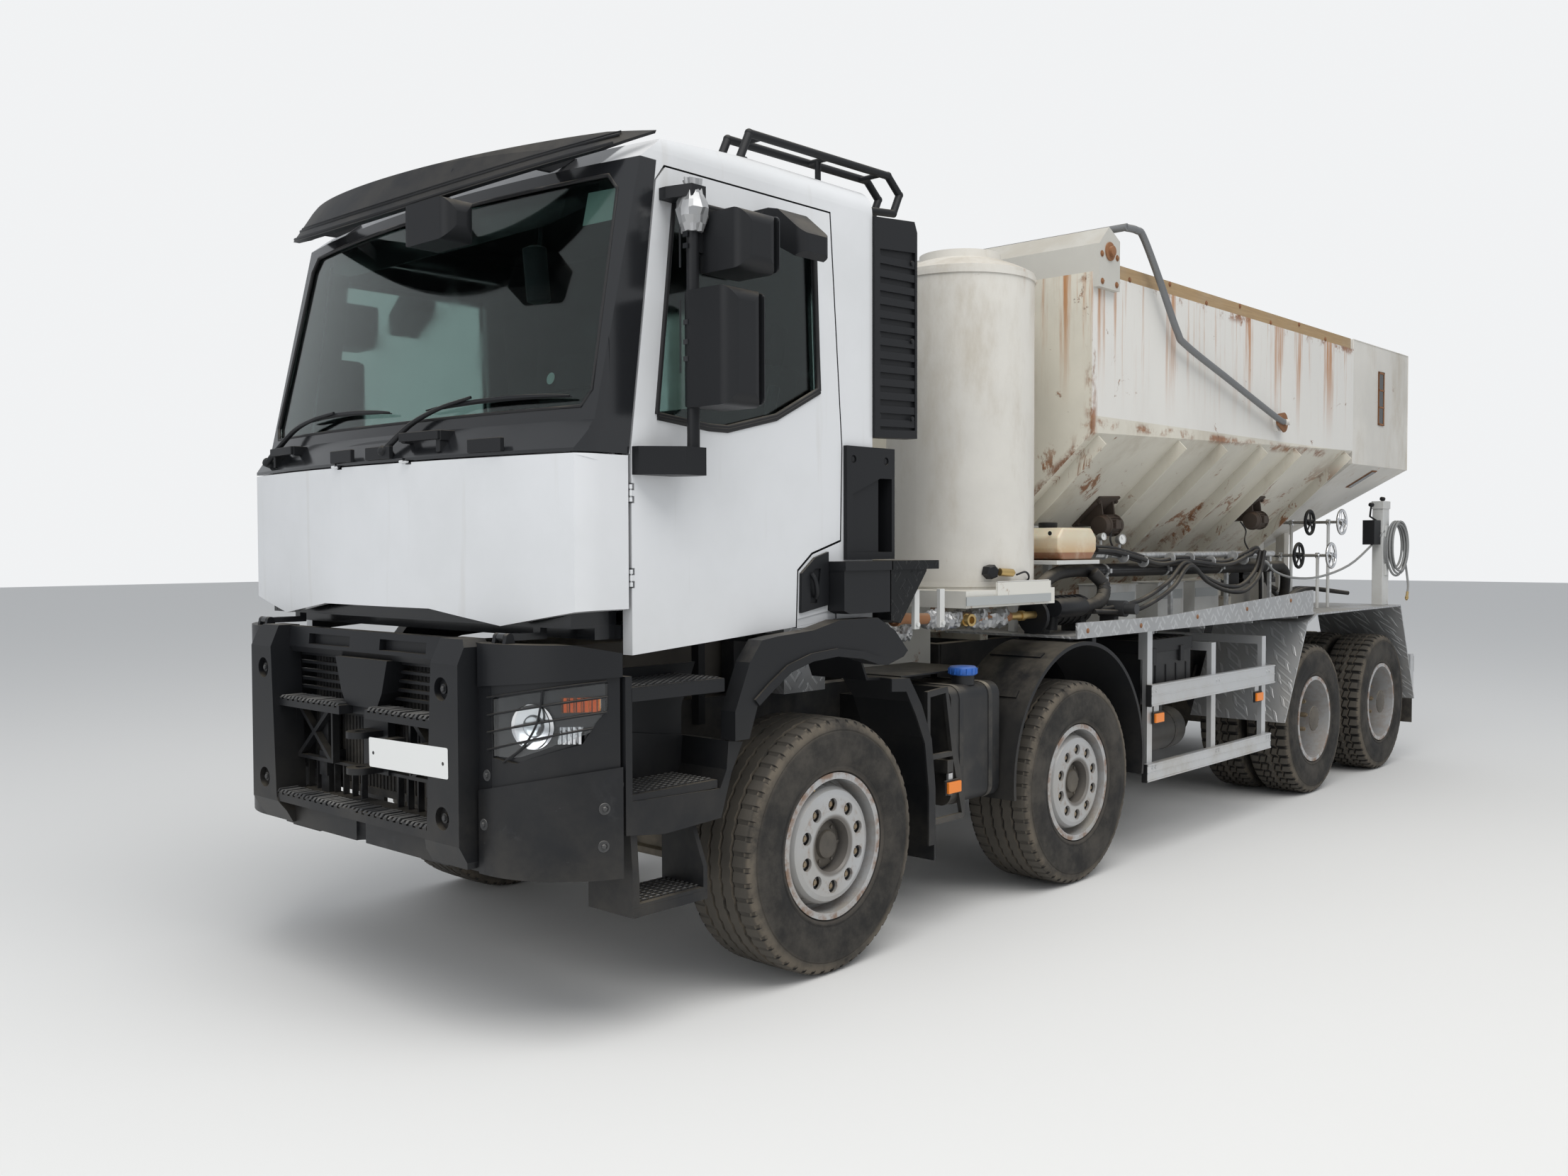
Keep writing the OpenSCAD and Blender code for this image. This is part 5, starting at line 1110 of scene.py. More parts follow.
for y, z0, r in ((1.045, 1.735, 0.0115), (1.065, 1.715, 0.013), (1.030, 1.705, 0.010)):
    loops.rod(sweep([(-2.44, z0), (-2.66, z0 - 0.01), (-2.92, z0 - 0.045), (-3.2, z0 - 0.085), (-3.55, z0 - 0.070),
                     (-4.1, z0 - 0.10), (-4.45, z0 - 0.045), (-4.62, z0 - 0.02, 1.06), (-4.80, 1.52, 1.0),
                     (-5.00, 1.36, 0.92)], y), r, 8)
for x0, x1 in ((-2.83, -2.93), (-4.70, -4.78)):
    loops.rod(sweep([(x0, 1.90, 0.90), (x0 - 0.02, 1.84, 0.93), (x1 + 0.12, 1.76, 0.95), (x1 + 0.10, 1.66, 1.00)],
                    0.95), 0.0055, 6)
for k in range(3):
    loops.rod(sweep([(-5.05 - 0.12 * k, 1.62 - 0.1 * k, 0.92), (-5.30, 1.44, 0.86), (-5.75, 1.36 - 0.02 * k, 0.80),
                     (-6.30, 1.40, 0.76 - 0.05 * k), (-6.62, 1.36, 0.95)], 0.9), 0.016, 8)
loops.build("loose_hoses", "hose rubber", crease=80)
print("suction hose:", len(fat.faces), "faces, clipped hoses:", len(loops.faces))

# %% [markdown]
# The grey hose is loose: it lies along the others, climbs to the hook on the control post, hangs there in
# six turns and ends in a brass fitting. One line of points runs from end to end, so that its length can be
# measured. The turns lie side by side on the hook, three out and three back over them, each a little wider.

# %% The grey hose and its coil
hose_wide, turns, hook_top = 0.017, 6, 1.905
def coil_point(turn):
    """A point of the coil, turn counted from the right-hand side at the height of its centre."""
    second = min(max(2 * (turn - turns / 2) + 0.5, 0), 1)
    wide = 0.165 + 0.008 * turn + 0.012 * second
    angle = 2 * math.pi * turn
    return at(-6.990 + wide * math.cos(angle), 1.168 + 0.0185 * min(turn, turns - turn),
              hook_top + 0.018 * second - wide + wide * math.sin(angle))
start, stop = 0.16, turns - 0.5
route = sweep([(-4.42, 1.634, 1.006), (-4.52, 1.660, 1.055), (-4.64, 1.630, 1.100), (-4.78, 1.560), (-5.10, 1.512),
               (-5.59, 1.510), (-6.17, 1.585), (-6.60, 1.725, 1.12), (-6.78, 1.840, 1.155)], 1.11, 4)
route += [coil_point(start + (stop - start) * k / 200) for k in range(201)]
route += sweep([(-7.209, 1.60, 1.190), (-7.190, 1.50, 1.210), (-7.140, 1.41, 1.235), (-7.070, 1.34, 1.250)], 1.2, 4)
grey = Kit()
grey.rod(route, hose_wide / 2, 8)
grey_hose = grey.build("coiled_hose", "grey hose", crease=80)
end = Kit()
along = (route[-1] - route[-2]).normalized()
end.turned([(-0.030, 0.0105), (0.020, 0.0105), (0.022, 0.0135), (0.040, 0.0135), (0.042, 0.0095), (0.055, 0.0090)],
           route[-1], along, 16)
hose_end = end.build("hose_fitting", "brass", crease=40)
hose_long = sum((q - p).length for p, q in zip(route, route[1:]))
print("the grey hose is", round(hose_long, 2), "m long in", turns, "turns")

# %% Clips that hold the hoses
clips = Kit()
for x in (-2.78, -3.02, -3.36, -3.62, -3.92, -4.25, -4.42):
    clips.turned([(-0.006, 0.034), (0.006, 0.034)], at(x, 1.045, 1.655 + 0.02 * math.cos(x * 9)), (1, 0, 0), 12)
for x in (-2.66, -3.40, -4.15, -4.90):
    clips.turned([(-0.011, 0.0415), (0.011, 0.0415)], at(x, 0.98, 1.597), (1, 0, 0), 20)
    clips.brick(at(x - 0.011, 1.018, 1.585), at(x + 0.011, 1.036, 1.609))
clips.build("hose_clips", "galvanised", crease=40)
print("clips:", len(clips.faces), "faces")

# %% [markdown]
# The water side: a pump with its black motor, pipes lagged with crumpled foil, and brass couplings. The foil
# is a tube whose points are pushed in and out at random and shaded flat, so that every crease shows.

# %% Pump and pipes
def crumpled(kit, a, b, radius, rough, rings=26, sides=18, seed=1):
    random.seed(seed)
    a, b = Vector(a), Vector(b)
    way = (b - a).normalized()
    one = way.orthogonal().normalized()
    two = way.cross(one)
    ring = []
    for j in range(rings):
        s = j / (rings - 1)
        for turn in around(sides):
            q = radius * (1 + 0.2 * math.sin(9 * s + 2 * turn)) + random.uniform(-rough, rough)
            if j in (0, rings - 1):
                q *= 0.75
            ring.append(a.lerp(b, s) + (one * math.cos(turn) + two * math.sin(turn)) * q)
    return kit.take(ring, tube_faces(rings, sides))

foil = Kit()
crumpled(foil, at(-0.86, 1.06, 1.400), at(-1.08, 1.09, 1.392), 0.040, 0.009, seed=2)
crumpled(foil, at(-1.20, 1.06, 1.395), at(-1.52, 1.06, 1.385), 0.046, 0.011, seed=5)
crumpled(foil, at(-0.62, 0.95, 1.330), at(-0.82, 1.00, 1.340), 0.036, 0.010, seed=7)
foil.build("foil_lagging", "sticker foil", crease=8)
pipe = Kit().rod(sweep([(-0.62, 1.418, 1.05), (-0.88, 1.405, 1.07), (-1.55, 1.388, 1.07)], 1.06, 4), 0.026, 12)
pipe.turned([(0, 0.040), (0.02, 0.040), (0.02, 0.034), (0.05, 0.034)], at(-0.64, 1.05, 1.418), (-1, 0, 0), 16)
pipe.build("pump_pipe", "rust", crease=40)
brass = Kit().turned([(0, 0.020), (0.03, 0.020), (0.03, 0.030), (0.055, 0.030), (0.055, 0.024), (0.075, 0.024),
                      (0.075, 0.029),
                      (0.088, 0.029), (0.088, 0.018), (0.06, 0.017)], at(-1.10, 1.08, 1.392), (0.15, 1, 0), 20)
brass.turned([(0, 0.019), (0.10, 0.019), (0.10, 0.026), (0.13, 0.026), (0.13, 0.019), (0.24, 0.019)],
             at(-1.56, 1.06, 1.386), (-1, 0.05, 0), 16)
outlet = at(-1.29, 1.118, 1.615)
brass.turned([(0.02, 0.019), (0.10, 0.019), (0.105, 0.014), (0.115, 0.006)], outlet + Vector((-0.01, 0.045, 0)),
             (-1, 0.30, -0.06), 14)
brass.build("brass_couplings", "brass", crease=40)
nut = Kit().turned([(0, 0.036), (0.045, 0.036), (0.052, 0.028)], outlet, (0.35, 1, 0), 6)
nut.rod(sweep([(-1.42, 1.600, 1.20), (-1.50, 1.612, 1.20), (-1.545, 1.58, 1.19), (-1.53, 1.53, 1.15)], 1.2), 0.005, 6)
nut.turned([(0, 0.090), (0.025, 0.090), (0.03, 0.05), (0.07, 0.048)], at(-1.79, 1.06, 1.375), (-1, 0.05, 0), 28)
nut.turned([(0, 0.045), (0.03, 0.052), (0.25, 0.052), (0.26, 0.046), (0.275, 0.046), (0.285, 0.038)],
           at(-1.93, 1.105, 1.415), (-1, 0.02, 0), 24)
nut.turned([(0, 0.030), (0.12, 0.030)], at(-1.98, 1.06, 1.30), (0, 0.1, 1), 14)
nut.build("pump_motor", "black plastic", crease=40)

print("foil, pipe, couplings and pump motor made")

# %% [markdown]
# The additive stands in a milky jug by the pump. Light goes into the plastic, so its finish has a little
# subsurface, and the brown dregs at its foot are masked by height rather than made as a liquid.

# %% The additive jug
jug_paint = Finish("jug plastic", rough=0.35, Subsurface_Weight=0.25)
jug_z = jug_paint.axes()[2]
dregs = jug_paint.step(jug_z, 1.700, 1.708)
plastic = jug_paint.mix(jug_paint.step(jug_z, 1.70, 1.80), (0.60, 0.42, 0.24), (0.72, 0.64, 0.48))
tone = jug_paint.mix(dregs, (0.30, 0.14, 0.07), plastic)
stain = jug_paint.patches(0.45, 0.7, 7.0, 5.0, rough=0.7)
jug_paint.colour(jug_paint.mix(stain * 0.35, tone, (0.8, 0.74, 0.6)))
keep("jug plastic", jug_paint)
outline = ((-2.065, 1.665), (-2.365, 1.665), (-2.415, 1.715), (-2.415, 1.785), (-2.365, 1.835), (-2.065, 1.835),
           (-2.015, 1.785), (-2.015, 1.715))
jug = Kit().prism([at(x, 0, z) for x, z in outline], (0, 0.80, 0), (0, 1.08, 0))
jug.build("additive_jug", "jug plastic", ridge=0.014, steps=3)
cap = Kit().turned([(0, 0.046), (0.006, 0.050), (0.028, 0.050), (0.032, 0.044), (0.033, 0.01)],
                   at(-2.14, 0.94, 1.833), (0, 0, 1), 28)
cap.turned([(0, 0.006), (0.004, 0.012), (0.006, 0.006)], at(-2.013, 1.03, 1.805), (1, 0, 0), 12)
cap.build("jug_cap", "black plastic")
holder = Kit().brick(at(-2.44, 0.765, 1.645), at(-1.99, 0.798, 1.85))
holder.brick(at(-2.44, 0.765, 1.640), at(-1.99, 1.085, 1.662))
for x in (-2.40, -2.05):
    holder.brick(at(x - 0.02, 0.76, DECK_TOP), at(x + 0.02, 0.80, 1.645))
holder.build("jug_holder", "white paint", ridge=0.003)
print("jug made, in its own", FINISH["jug plastic"].name)

# %% [markdown]
# Two gauges stand on the pipes, turned a little outwards to where the driver reads them. Each is a lathe
# form with a pale face, a needle and a stalk.

# %% Gauges
faces_kit, rims = Kit(), Kit()
for x, y, z, r in ((-2.845, 1.000, 1.775, 0.029), (-2.610, 1.010, 1.790, 0.021)):
    rims.turned([(-0.03, r * 0.8), (-0.005, r), (0.004, r * 1.08), (0.008, r * 1.02), (0.0065, r * 0.92),
                 (0.003, r * 0.90)], at(x, y, z), (0.25, 1, 0.05), 26)
    faces_kit.turned([(0.0032, r * 0.90), (0.0038, r * 0.90)], at(x, y, z), (0.25, 1, 0.05), 26)
    rims.rod([at(x, y + 0.005, z), at(x + 0.4 * r, y + 0.006, z + 0.55 * r)], 0.0016, 4)
    rims.rod([at(x, y - 0.015, z - r), at(x, y - 0.015, 1.690)], 0.009, 8)
for x0, x1 in ((-2.52, -2.62), (-2.70, -2.80)):
    rims.turned([(0, 0.022), (0.10, 0.022), (0.10, 0.030), (0.12, 0.030)], at(x0, 1.0, 1.690), (-1, 0, 0), 8)
faces_kit.build("gauge_faces", "plate white")
rims.build("gauges", "galvanised", crease=40)
print("gauges made with", len(rims.faces), "faces")

# %% [markdown]
# Tray and boxes carry grey reflective strips, all left blank. The tray's own finish turns black past the
# tanks, where the same solid is the pump.

# %% Tray, strips and white boxes
tray_paint = Finish("tray paint", rough=0.5)
tray_x = tray_paint.axes()[0]
chips = tray_paint.patches(0.60, 0.68, 6.0, 8.0, rough=0.72)
white = tray_paint.mix(chips * 0.8, (0.7, 0.69, 0.64), (0.26, 0.11, 0.04))
white, share = dusted(tray_paint, white, ledge=0.5, low=0.3)
tray_paint.colour(tray_paint.mix(tray_paint.step(tray_x, X0 - 1.815, X0 - 1.805), (0.035, 0.036, 0.038), white))
keep("tray paint", tray_paint)
dress("pump_tray", "tray paint")
grained("reflective strip", (0.42, 0.44, 0.44), 0.35, metal=0.2, grain=260.0, depth=0.15, ledge=0.2, low=0.15,
        vary=0.05)
strips = Kit().brick(at(-1.735, 1.1985, 1.462), at(-0.992, 1.2035, 1.503))
strips.verts = [Vector((v.x, v.y - 0.0085 if v.z < 0 else v.y, v.z)) for v in strips.verts]
boxes = Kit()
for x0, x1 in ((-3.263, -2.886), (-3.90, -3.549), (-4.42, -4.063)):
    boxes.brick(at(x0, 0.70, DECK_TOP), at(x1, 0.875, 1.505))
    boxes.brick(at(x0 - 0.006, 0.694, 1.505), at(x1 + 0.006, 0.884, 1.512))
    strips.brick(at(x0 + 0.02, 0.8735, 1.405), at(x1 - 0.005, 0.8775, 1.462))
strips.mirrored().build("reflective_strips", "reflective strip")
for x in (-0.598, -0.788):
    boxes.brick(at(x - 0.018, 1.192, 1.375), at(x + 0.018, 1.212, 1.548))
    boxes.turned([(0, 0.012), (0.012, 0.012)], at(x, 1.21, 1.395), (0, 1, 0), 8)
boxes.brick(at(-1.72, 1.19, 1.5665), at(-1.26, 1.202, 1.571))
boxes.mirrored().build("foot_boxes", "white paint", ridge=0.003)
print("strips and boxes made on both sides")

# %% [markdown]
# Each wheel is held by ten studs, with a nut and a washer on each. A cap closes the hub, and the tyre's
# valve is a thin bent rod by the rim. All of it rides on the wheel, so that it spins with it.

# %% Nuts, caps and valves
STUD_CIRCLE, VALVE_TURN = 0.1675, math.radians(70)

def on_wheel(axle, radius, turn, y):
    return Vector((axle + radius * math.cos(turn), y, WHEEL_Z + radius * math.sin(turn)))

grained("nut steel", (0.22, 0.17, 0.11), 0.5, metal=0.6, grain=90.0, depth=0.3, ledge=0.3, low=0.3, vary=0.3)
grained("hub grease", (0.075, 0.068, 0.060), 0.6, metal=0.4, grain=70.0, depth=0.4, ledge=0.4, low=0.3)
for side, s in (("left", 1), ("right", -1)):
    for number in (1, 2, 3, 4):
        node = f"wheel_{number}_{side}"
        body = body_of(frame["nodes"][node])[0]
        ax, front = AXLES[number - 1], number < 3
        nut_y = s * (1.2132 if front else 1.0777)
        nuts, hub_kit, valve = Kit(), Kit(), Kit()
        for k in range(10):
            turn = math.radians(36 * k + (18 if front else 0))
            p = on_wheel(ax, STUD_CIRCLE, turn, nut_y)
            nuts.turned([(-0.050, 0.0238), (-0.046, 0.0238)], p, (0, s, 0), 20)
            nuts.turned([(-0.047, 0.0176), (-0.004, 0.0176), (0.0012, 0.0145)], p, (0, s, 0), 6, turn)
            nuts.turned([(0.0, 0.0105), (0.006, 0.0105), (0.008, 0.008)], p, (0, s, 0), 12)
        nuts.build(f"wheel_nuts_{number}_{side}", "nut steel", body, crease=40)
        if front:
            y = s * 1.174
            hub_kit.turned([(0.0, 0.094), (0.006, 0.093), (0.012, 0.080), (0.016, 0.060), (0.030, 0.055),
                            (0.033, 0.048), (0.031, 0.020), (0.028, 0.004)], (ax, y, WHEEL_Z), (0, s, 0), 32)
            for k in range(6):
                turn = math.radians(60 * k)
                hub_kit.turned([(0.008, 0.0075), (0.018, 0.0075)], on_wheel(ax, 0.075, turn, y), (0, s, 0), 6)
        else:
            y = s * 1.193
            hub_kit.turned([(0.0, 0.088), (0.004, 0.086), (0.008, 0.074), (0.012, 0.050), (0.013, 0.004)],
                           (ax, y, WHEEL_Z), (0, s, 0), 32)
            for k in range(10):
                turn = math.radians(36 * k + 10)
                hub_kit.turned([(0.004, 0.007), (0.013, 0.007)], on_wheel(ax, 0.079, turn, y - s * 0.006), (0, s, 0), 6)
        hub_kit.build(f"hub_cap_{number}_{side}", "hub grease", body, crease=40)
        y = s * (1.150 if front else 1.105)
        valve.rod([on_wheel(ax, radius, VALVE_TURN, y + s * out)
                   for radius, out in ((0.258, -0.02), (0.254, 0.02), (0.248, 0.055))], 0.0042, 8)
        valve.build(f"valve_{number}_{side}", "brass", body)

print("nuts, caps and valves on 8 wheels")

# %% [markdown]
# The tarpaulin arm is one bent tube, and its pivot plate has rusted. The gate controls are rebuilt as
# real handwheels: a round rim, five spokes and a crank knob. The inner handwheels are the outer chrome
# ones again in near-black chassis paint, as painted shade.

# %% Tarpaulin arms and gate handwheels
arm_body = body_of(frame["nodes"]["tarp_arms"])[0]
bends = ((-4.445, 2.530), (-4.30, 2.553), (-3.60, 2.724), (-3.02, 2.868), (-2.90, 2.935), (-2.70, 3.170),
         (-2.50, 3.385), (-2.42, 3.412), (-2.29, 3.405))
arms = Kit().rod(curved([at(x, 1.304, z) for x, z in bends], 8), 0.0195, 14)
arms.mirrored()
arms.rod([at(-2.29, -1.318, 3.405), at(-2.29, 1.318, 3.405)], 0.0195, 14)
arms.build("tarp_arm_tubes", "tarp steel", arm_body, crease=60, stands_for=["tarp_arms"])
pads = Kit()
ring = [at(-4.436 + 0.064 * math.cos(a), 1.290, 2.530 + 0.064 * math.sin(a))
        for a in (math.radians(95 + 19 * k) for k in range(10))]
ring += [at(-4.330, 1.290, 2.515), at(-4.320, 1.290, 2.575)]
pads.prism(ring, (0, 0, 0), (0, 0.010, 0))
for x, z in ((-4.436, 2.530), (-4.352, 2.549)):
    pads.turned([(0, 0.022), (0.024, 0.022), (0.028, 0.014)], at(x, 1.290, z), (0, 1, 0), 16)
pads.mirrored().build("tarp_pivot_pads", "rust", arm_body, crease=40)

gate = Kit()
posts = Kit().brick(at(-6.905, 1.080, REAR_DECK_TOP), at(-6.760, 1.160, 2.075))
posts.brick(at(-6.915, 1.074, 2.02), at(-6.750, 1.166, 2.080))
for z in (1.50, 1.80):
    posts.brick(at(-6.86, 1.160, z), at(-6.80, 1.172, z + 0.09))
shaded_wheels = Kit()
levers = Kit()
for px, pz in ((-6.100, 1.910), (-5.890, 1.660)):
    gate.rod([at(px, 0.64, pz), at(px, 1.112, pz)], 0.0115, 12)
    for y in (0.700, 0.980):
        posts.brick(at(px - 0.02, y - 0.006, REAR_DECK_TOP), at(px + 0.02, y + 0.006, pz + 0.022))
        gate.turned([(-0.012, 0.022), (0.012, 0.022)], at(px, y, pz), (0, 1, 0), 16)
    # The inner handwheels get near-black chassis paint in place of chrome: painted shade, as they sit deeper in.
    for kit, y, thick in ((gate, 1.080, 0.0105), (shaded_wheels, 0.840, 0.012)):
        circle = [at(px + 0.0885 * math.cos(a), y, pz + 0.0885 * math.sin(a))
                  for a in (2 * math.pi * k / 36 for k in range(37))]
        kit.rod(circle, thick, 10)
        for k in range(5):
            a = math.radians(72 * k + 18)
            kit.rod([at(px + 0.015 * math.cos(a), y + 0.006, pz + 0.015 * math.sin(a)),
                     at(px + 0.088 * math.cos(a), y, pz + 0.088 * math.sin(a))],
                    0.0065, 6)
        kit.turned([(-0.012, 0.024), (0.010, 0.024), (0.014, 0.012), (0.020, 0.012)], at(px, y, pz), (0, 1, 0), 16)
for x, y, z in ((-6.615, 1.12, 2.049), (-6.868, 1.12, 2.10), (-6.70, 1.12, 1.90)):
    levers.rod([at(x, y, z), at(x - 0.03 if x > -6.8 else x, y - 0.02, z - 0.09),
                at(-6.78, 1.12, min(z - 0.13, 1.99))], 0.007, 8)
    levers.turned([(-0.016, 0.012), (-0.008, 0.021), (0.008, 0.021), (0.016, 0.012)], at(x, y, z), (0, 0.2, 1), 16)
levers.brick(at(-6.745, 1.060, 1.74), at(-6.60, 1.150, 1.93))
levers.mirrored().build("valve_levers", "black plastic", crease=50, ridge=0.004)
gate.mirrored().build("gate_wheels_outer", "chrome", crease=50)
shaded_wheels.mirrored().build("gate_wheels_inner", "chassis paint", crease=50)
posts.mirrored().build("gate_posts", "white paint", ridge=0.003, stands_for=["controls"])
print("arms on", arm_body, "and four pairs of handwheels")

# %% [markdown]
# The side guards are folded sheet. Their edges catch the light as thin bright lines, so each edge gets a
# slim bar, and each end a black cap. Amber marker lamps sit on small brackets under them.

# %% Guard edges and side markers
def round_bar(kit, x0, x1, y, z, r):
    return kit.rod([at(x0, y, z), at(x1, y, z)], r, 8)

marks, caps, holders = Kit(), Kit(), Kit()
def marker(x, y, z):
    marks.brick(at(x - 0.050, y + 0.010, z - 0.026), at(x + 0.050, y + 0.026, z + 0.026))
    caps.brick(at(x - 0.058, y, z - 0.034), at(x + 0.058, y + 0.013, z + 0.034))

for x in (-2.855, -4.240):
    marker(x, 1.216, 0.767)
    holders.brick(at(x - 0.03, 1.205, 0.74), at(x + 0.03, 1.216, 0.845))
for x0, x1, z0, z1 in ((-4.46, -2.735, 0.84, 0.96), (-4.40, -2.69, 0.42, 0.52)):
    for x in (x0, x1):
        caps.brick(at(x - 0.004, 1.213, z0 - 0.002), at(x + 0.004, 1.247, z1 + 0.002))
    for z in (z0 + 0.006, z1 - 0.006):
        round_bar(holders, x0 + 0.004, x1 - 0.004, 1.2445, z, 0.0055)
    round_bar(holders, x0 + 0.004, x1 - 0.004, 1.2445, (z0 + z1) / 2, 0.004)
    bolts(holders, [at(x + d, 1.2445, (z0 + z1) / 2 + 0.026) for x in (-2.775, -3.600, -4.350)
                    for d in (-0.018, 0.018)],
          (0, 1, 0), 0.009, 0.007)
grained("amber plastic", (0.90, 0.24, 0.015), 0.3, grain=260.0, depth=0.25, ledge=0.15, low=0.12, vary=0.03)
marks.mirrored()
caps.mirrored()
holders.mirrored()
marker(-0.886, 1.190, 0.638)
holders.brick(at(-0.900, 1.178, 0.600), at(-0.868, 1.190, 0.705))
marks.build("side_markers", "amber plastic", ridge=0.004)
caps.build("marker_backs", "black plastic", ridge=0.003)
holders.build("guard_edges", "aluminium", crease=50)

print("markers and guard edges:", len(holders.faces), "faces of bar and bolt")

# %% [markdown]
# The additive tank has a blue screw cap with a milled edge. Each strap is a loop with a thickness, drawn
# round its tank as a box with round corners, and it lies just off the tank's skin.

# %% Tank cap and straps
tank = Kit()
tank.turned([(0.0, 0.060), (0.006, 0.066), (0.034, 0.066), (0.042, 0.058), (0.043, 0.02)], at(-1.11, 1.10, 1.130),
            (0, 0, 1), 30)
for a in around(14):
    tank.rod([at(-1.11 + 0.066 * math.cos(a), 1.10 + 0.066 * math.sin(a), 1.136),
              at(-1.11 + 0.066 * math.cos(a), 1.10 + 0.066 * math.sin(a), 1.163)], 0.004, 5)
tank.build("additive_cap", "blue plastic", crease=50)
strap = Kit()
def strap_loop(x, wide, low, high, grow=0.004, y_sign=1):
    (y0, z0), (y1, z1) = low, high
    ring = rounded(y0 + 0.06, y1 - 0.06, z0 + 0.06, z1 - 0.06, 0.06 + grow, 5)
    n = len(ring)
    verts = [at(x + dx, y_sign * y, z) for dx in (-wide / 2, wide / 2) for y, z in ring]
    strap.take(verts, [[i, (i + 1) % n, n + (i + 1) % n, n + i] for i in range(n)])
    inner = [at(x + dx, y_sign * (y - 0.004 * (1 if y > (y0 + y1) / 2 else -1)),
                z - 0.004 * (1 if z > (z0 + z1) / 2 else -1))
             for dx in (-wide / 2, wide / 2) for y, z in ring]
    base = len(strap.verts)
    strap.take(inner, [[i, n + i, n + (i + 1) % n, (i + 1) % n] for i in range(n)])
    outer = base - 2 * n
    strap.faces += [[outer + side * n + i, outer + side * n + (i + 1) % n, base + side * n + (i + 1) % n,
                     base + side * n + i]
                    for side in (0, 1) for i in range(n)]
for x in (-1.22, -0.98):
    strap_loop(x, 0.030, (0.760, 0.540), (1.180, 1.090))
for x in (-3.05, -3.47, -3.90):
    strap_loop(x, 0.055, (0.560, 0.470), (1.170, 1.080), 0.005, -1)
strap.build("tank_straps", "chassis paint", crease=50)
print("straps:", len(strap.faces), "faces in five loops")

# %% [markdown]
# The battery box closes with a ribbed lid and two clasps, and the fuel tank on the right has its filler cap.
# The air tanks have domed ends, which are lathe forms, a band near each end and a drain plug below.

# %% Battery box, filler cap and air tanks
box = Kit()
box.brick(at(-3.428, 0.552, 1.125), at(-2.782, 1.158, 1.200))
for k in range(9):
    box.brick(at(-3.39 + 0.07 * k, 0.60, 1.200), at(-3.37 + 0.07 * k, 1.13, 1.206))
for x in (-3.28, -2.93):
    box.brick(at(x - 0.025, 1.150, 1.06), at(x + 0.025, 1.168, 1.150))
for x in (-3.36, -3.23, -3.10, -2.97, -2.84):
    box.brick(at(x - 0.008, 1.145, 0.86), at(x + 0.008, 1.156, 1.05))
box.turned([(0, 0.052), (0.020, 0.052), (0.026, 0.044)], at(-3.55, -1.165, 0.98), (0, -1, 0.25), 26)
box.build("battery_lid", "black plastic", ridge=0.004)
ends = Kit()
for y in (0.700, 0.960):
    for x, way in ((-2.820, 1), (-3.500, -1)):
        ends.turned([(-0.004, 0.1255), (0.010, 0.120), (0.024, 0.095), (0.032, 0.055), (0.034, 0.004)],
                    at(x, y, 0.630), (way, 0, 0), 30)
    for x in (-3.38, -2.94):
        ends.turned([(-0.016, 0.1275), (0.016, 0.1275)], at(x, y, 0.630), (1, 0, 0), 30)
    ends.turned([(0, 0.012), (0.03, 0.012)], at(-3.15, y, 0.508), (0, 0, -1), 10)
ends.build("air_tank_ends", "chassis paint", crease=50)
print("side pieces made")

# %% [markdown]
# At the back: lamp lenses in red, amber and clear, red reflectors, a blank plate and rubber mud flaps, hung
# from the fender edge. Each lens has fine ridges across its face, which scatter the light.

# %% Rear lamps and flaps
bar_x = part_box("guards")[0].x
for name, finish, y0, y1 in (("tail_red", "red lens", 0.885, 0.985), ("tail_amber", "amber lens", 0.990, 1.070),
                             ("tail_clear", "clear lens", 1.075, 1.165)):
    lens = Kit()
    for s in (1, -1):
        a, b = sorted((s * y0, s * y1))
        lens.brick((bar_x - 0.046, a, 0.696), (bar_x - 0.0385, b, 0.814))
        for z in (0.706 + k * 0.018 for k in range(6)):
            lens.rod([(bar_x - 0.0465, a + 0.004, z), (bar_x - 0.0465, b - 0.004, z)], 0.0022, 5)
    lens.build(name, finish, ridge=0.003)
reflect = Kit()
for y in (0.55, -0.55):
    reflect.turned([(0, 0.038), (0.006, 0.038), (0.008, 0.034)], (bar_x, y, 0.53), (-1, 0, 0), 24)
reflect.build("rear_reflectors", "red lens")
blank = Kit().brick((bar_x - 0.005, -0.26, 0.475), (bar_x - 0.001, 0.26, 0.585))
blank.build("rear_plate_blank", "plate white", ridge=0.002)
flaps = Kit()
rear_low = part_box("deck")[0]
for s in (1, -1):
    a, b = sorted((s * 0.60, s * 1.235))
    x = rear_low.x + 0.004
    flaps.prism([(x, a, 0), (x, b, 0), (x + 0.008, b, 0), (x + 0.008, a, 0)], (0, 0, 0.30), (0, 0, 0.56))
    for k in range(5):
        y = a + (b - a) * (k + 0.5) / 5
        flaps.brick((x - 0.003, y - 0.012, 0.31), (x, y + 0.012, 0.50))
flaps.build("mud_flaps", "hose rubber", ridge=0.002)

print("lamps and flaps hang at", round(bar_x, 3))

# %% [markdown]
# Underneath run the drive shafts, in three lengths with a joint at each end, and every axle has its brake
# chambers: flat cans with a bent hose. They show between the wheels and when the truck is seen from low down.

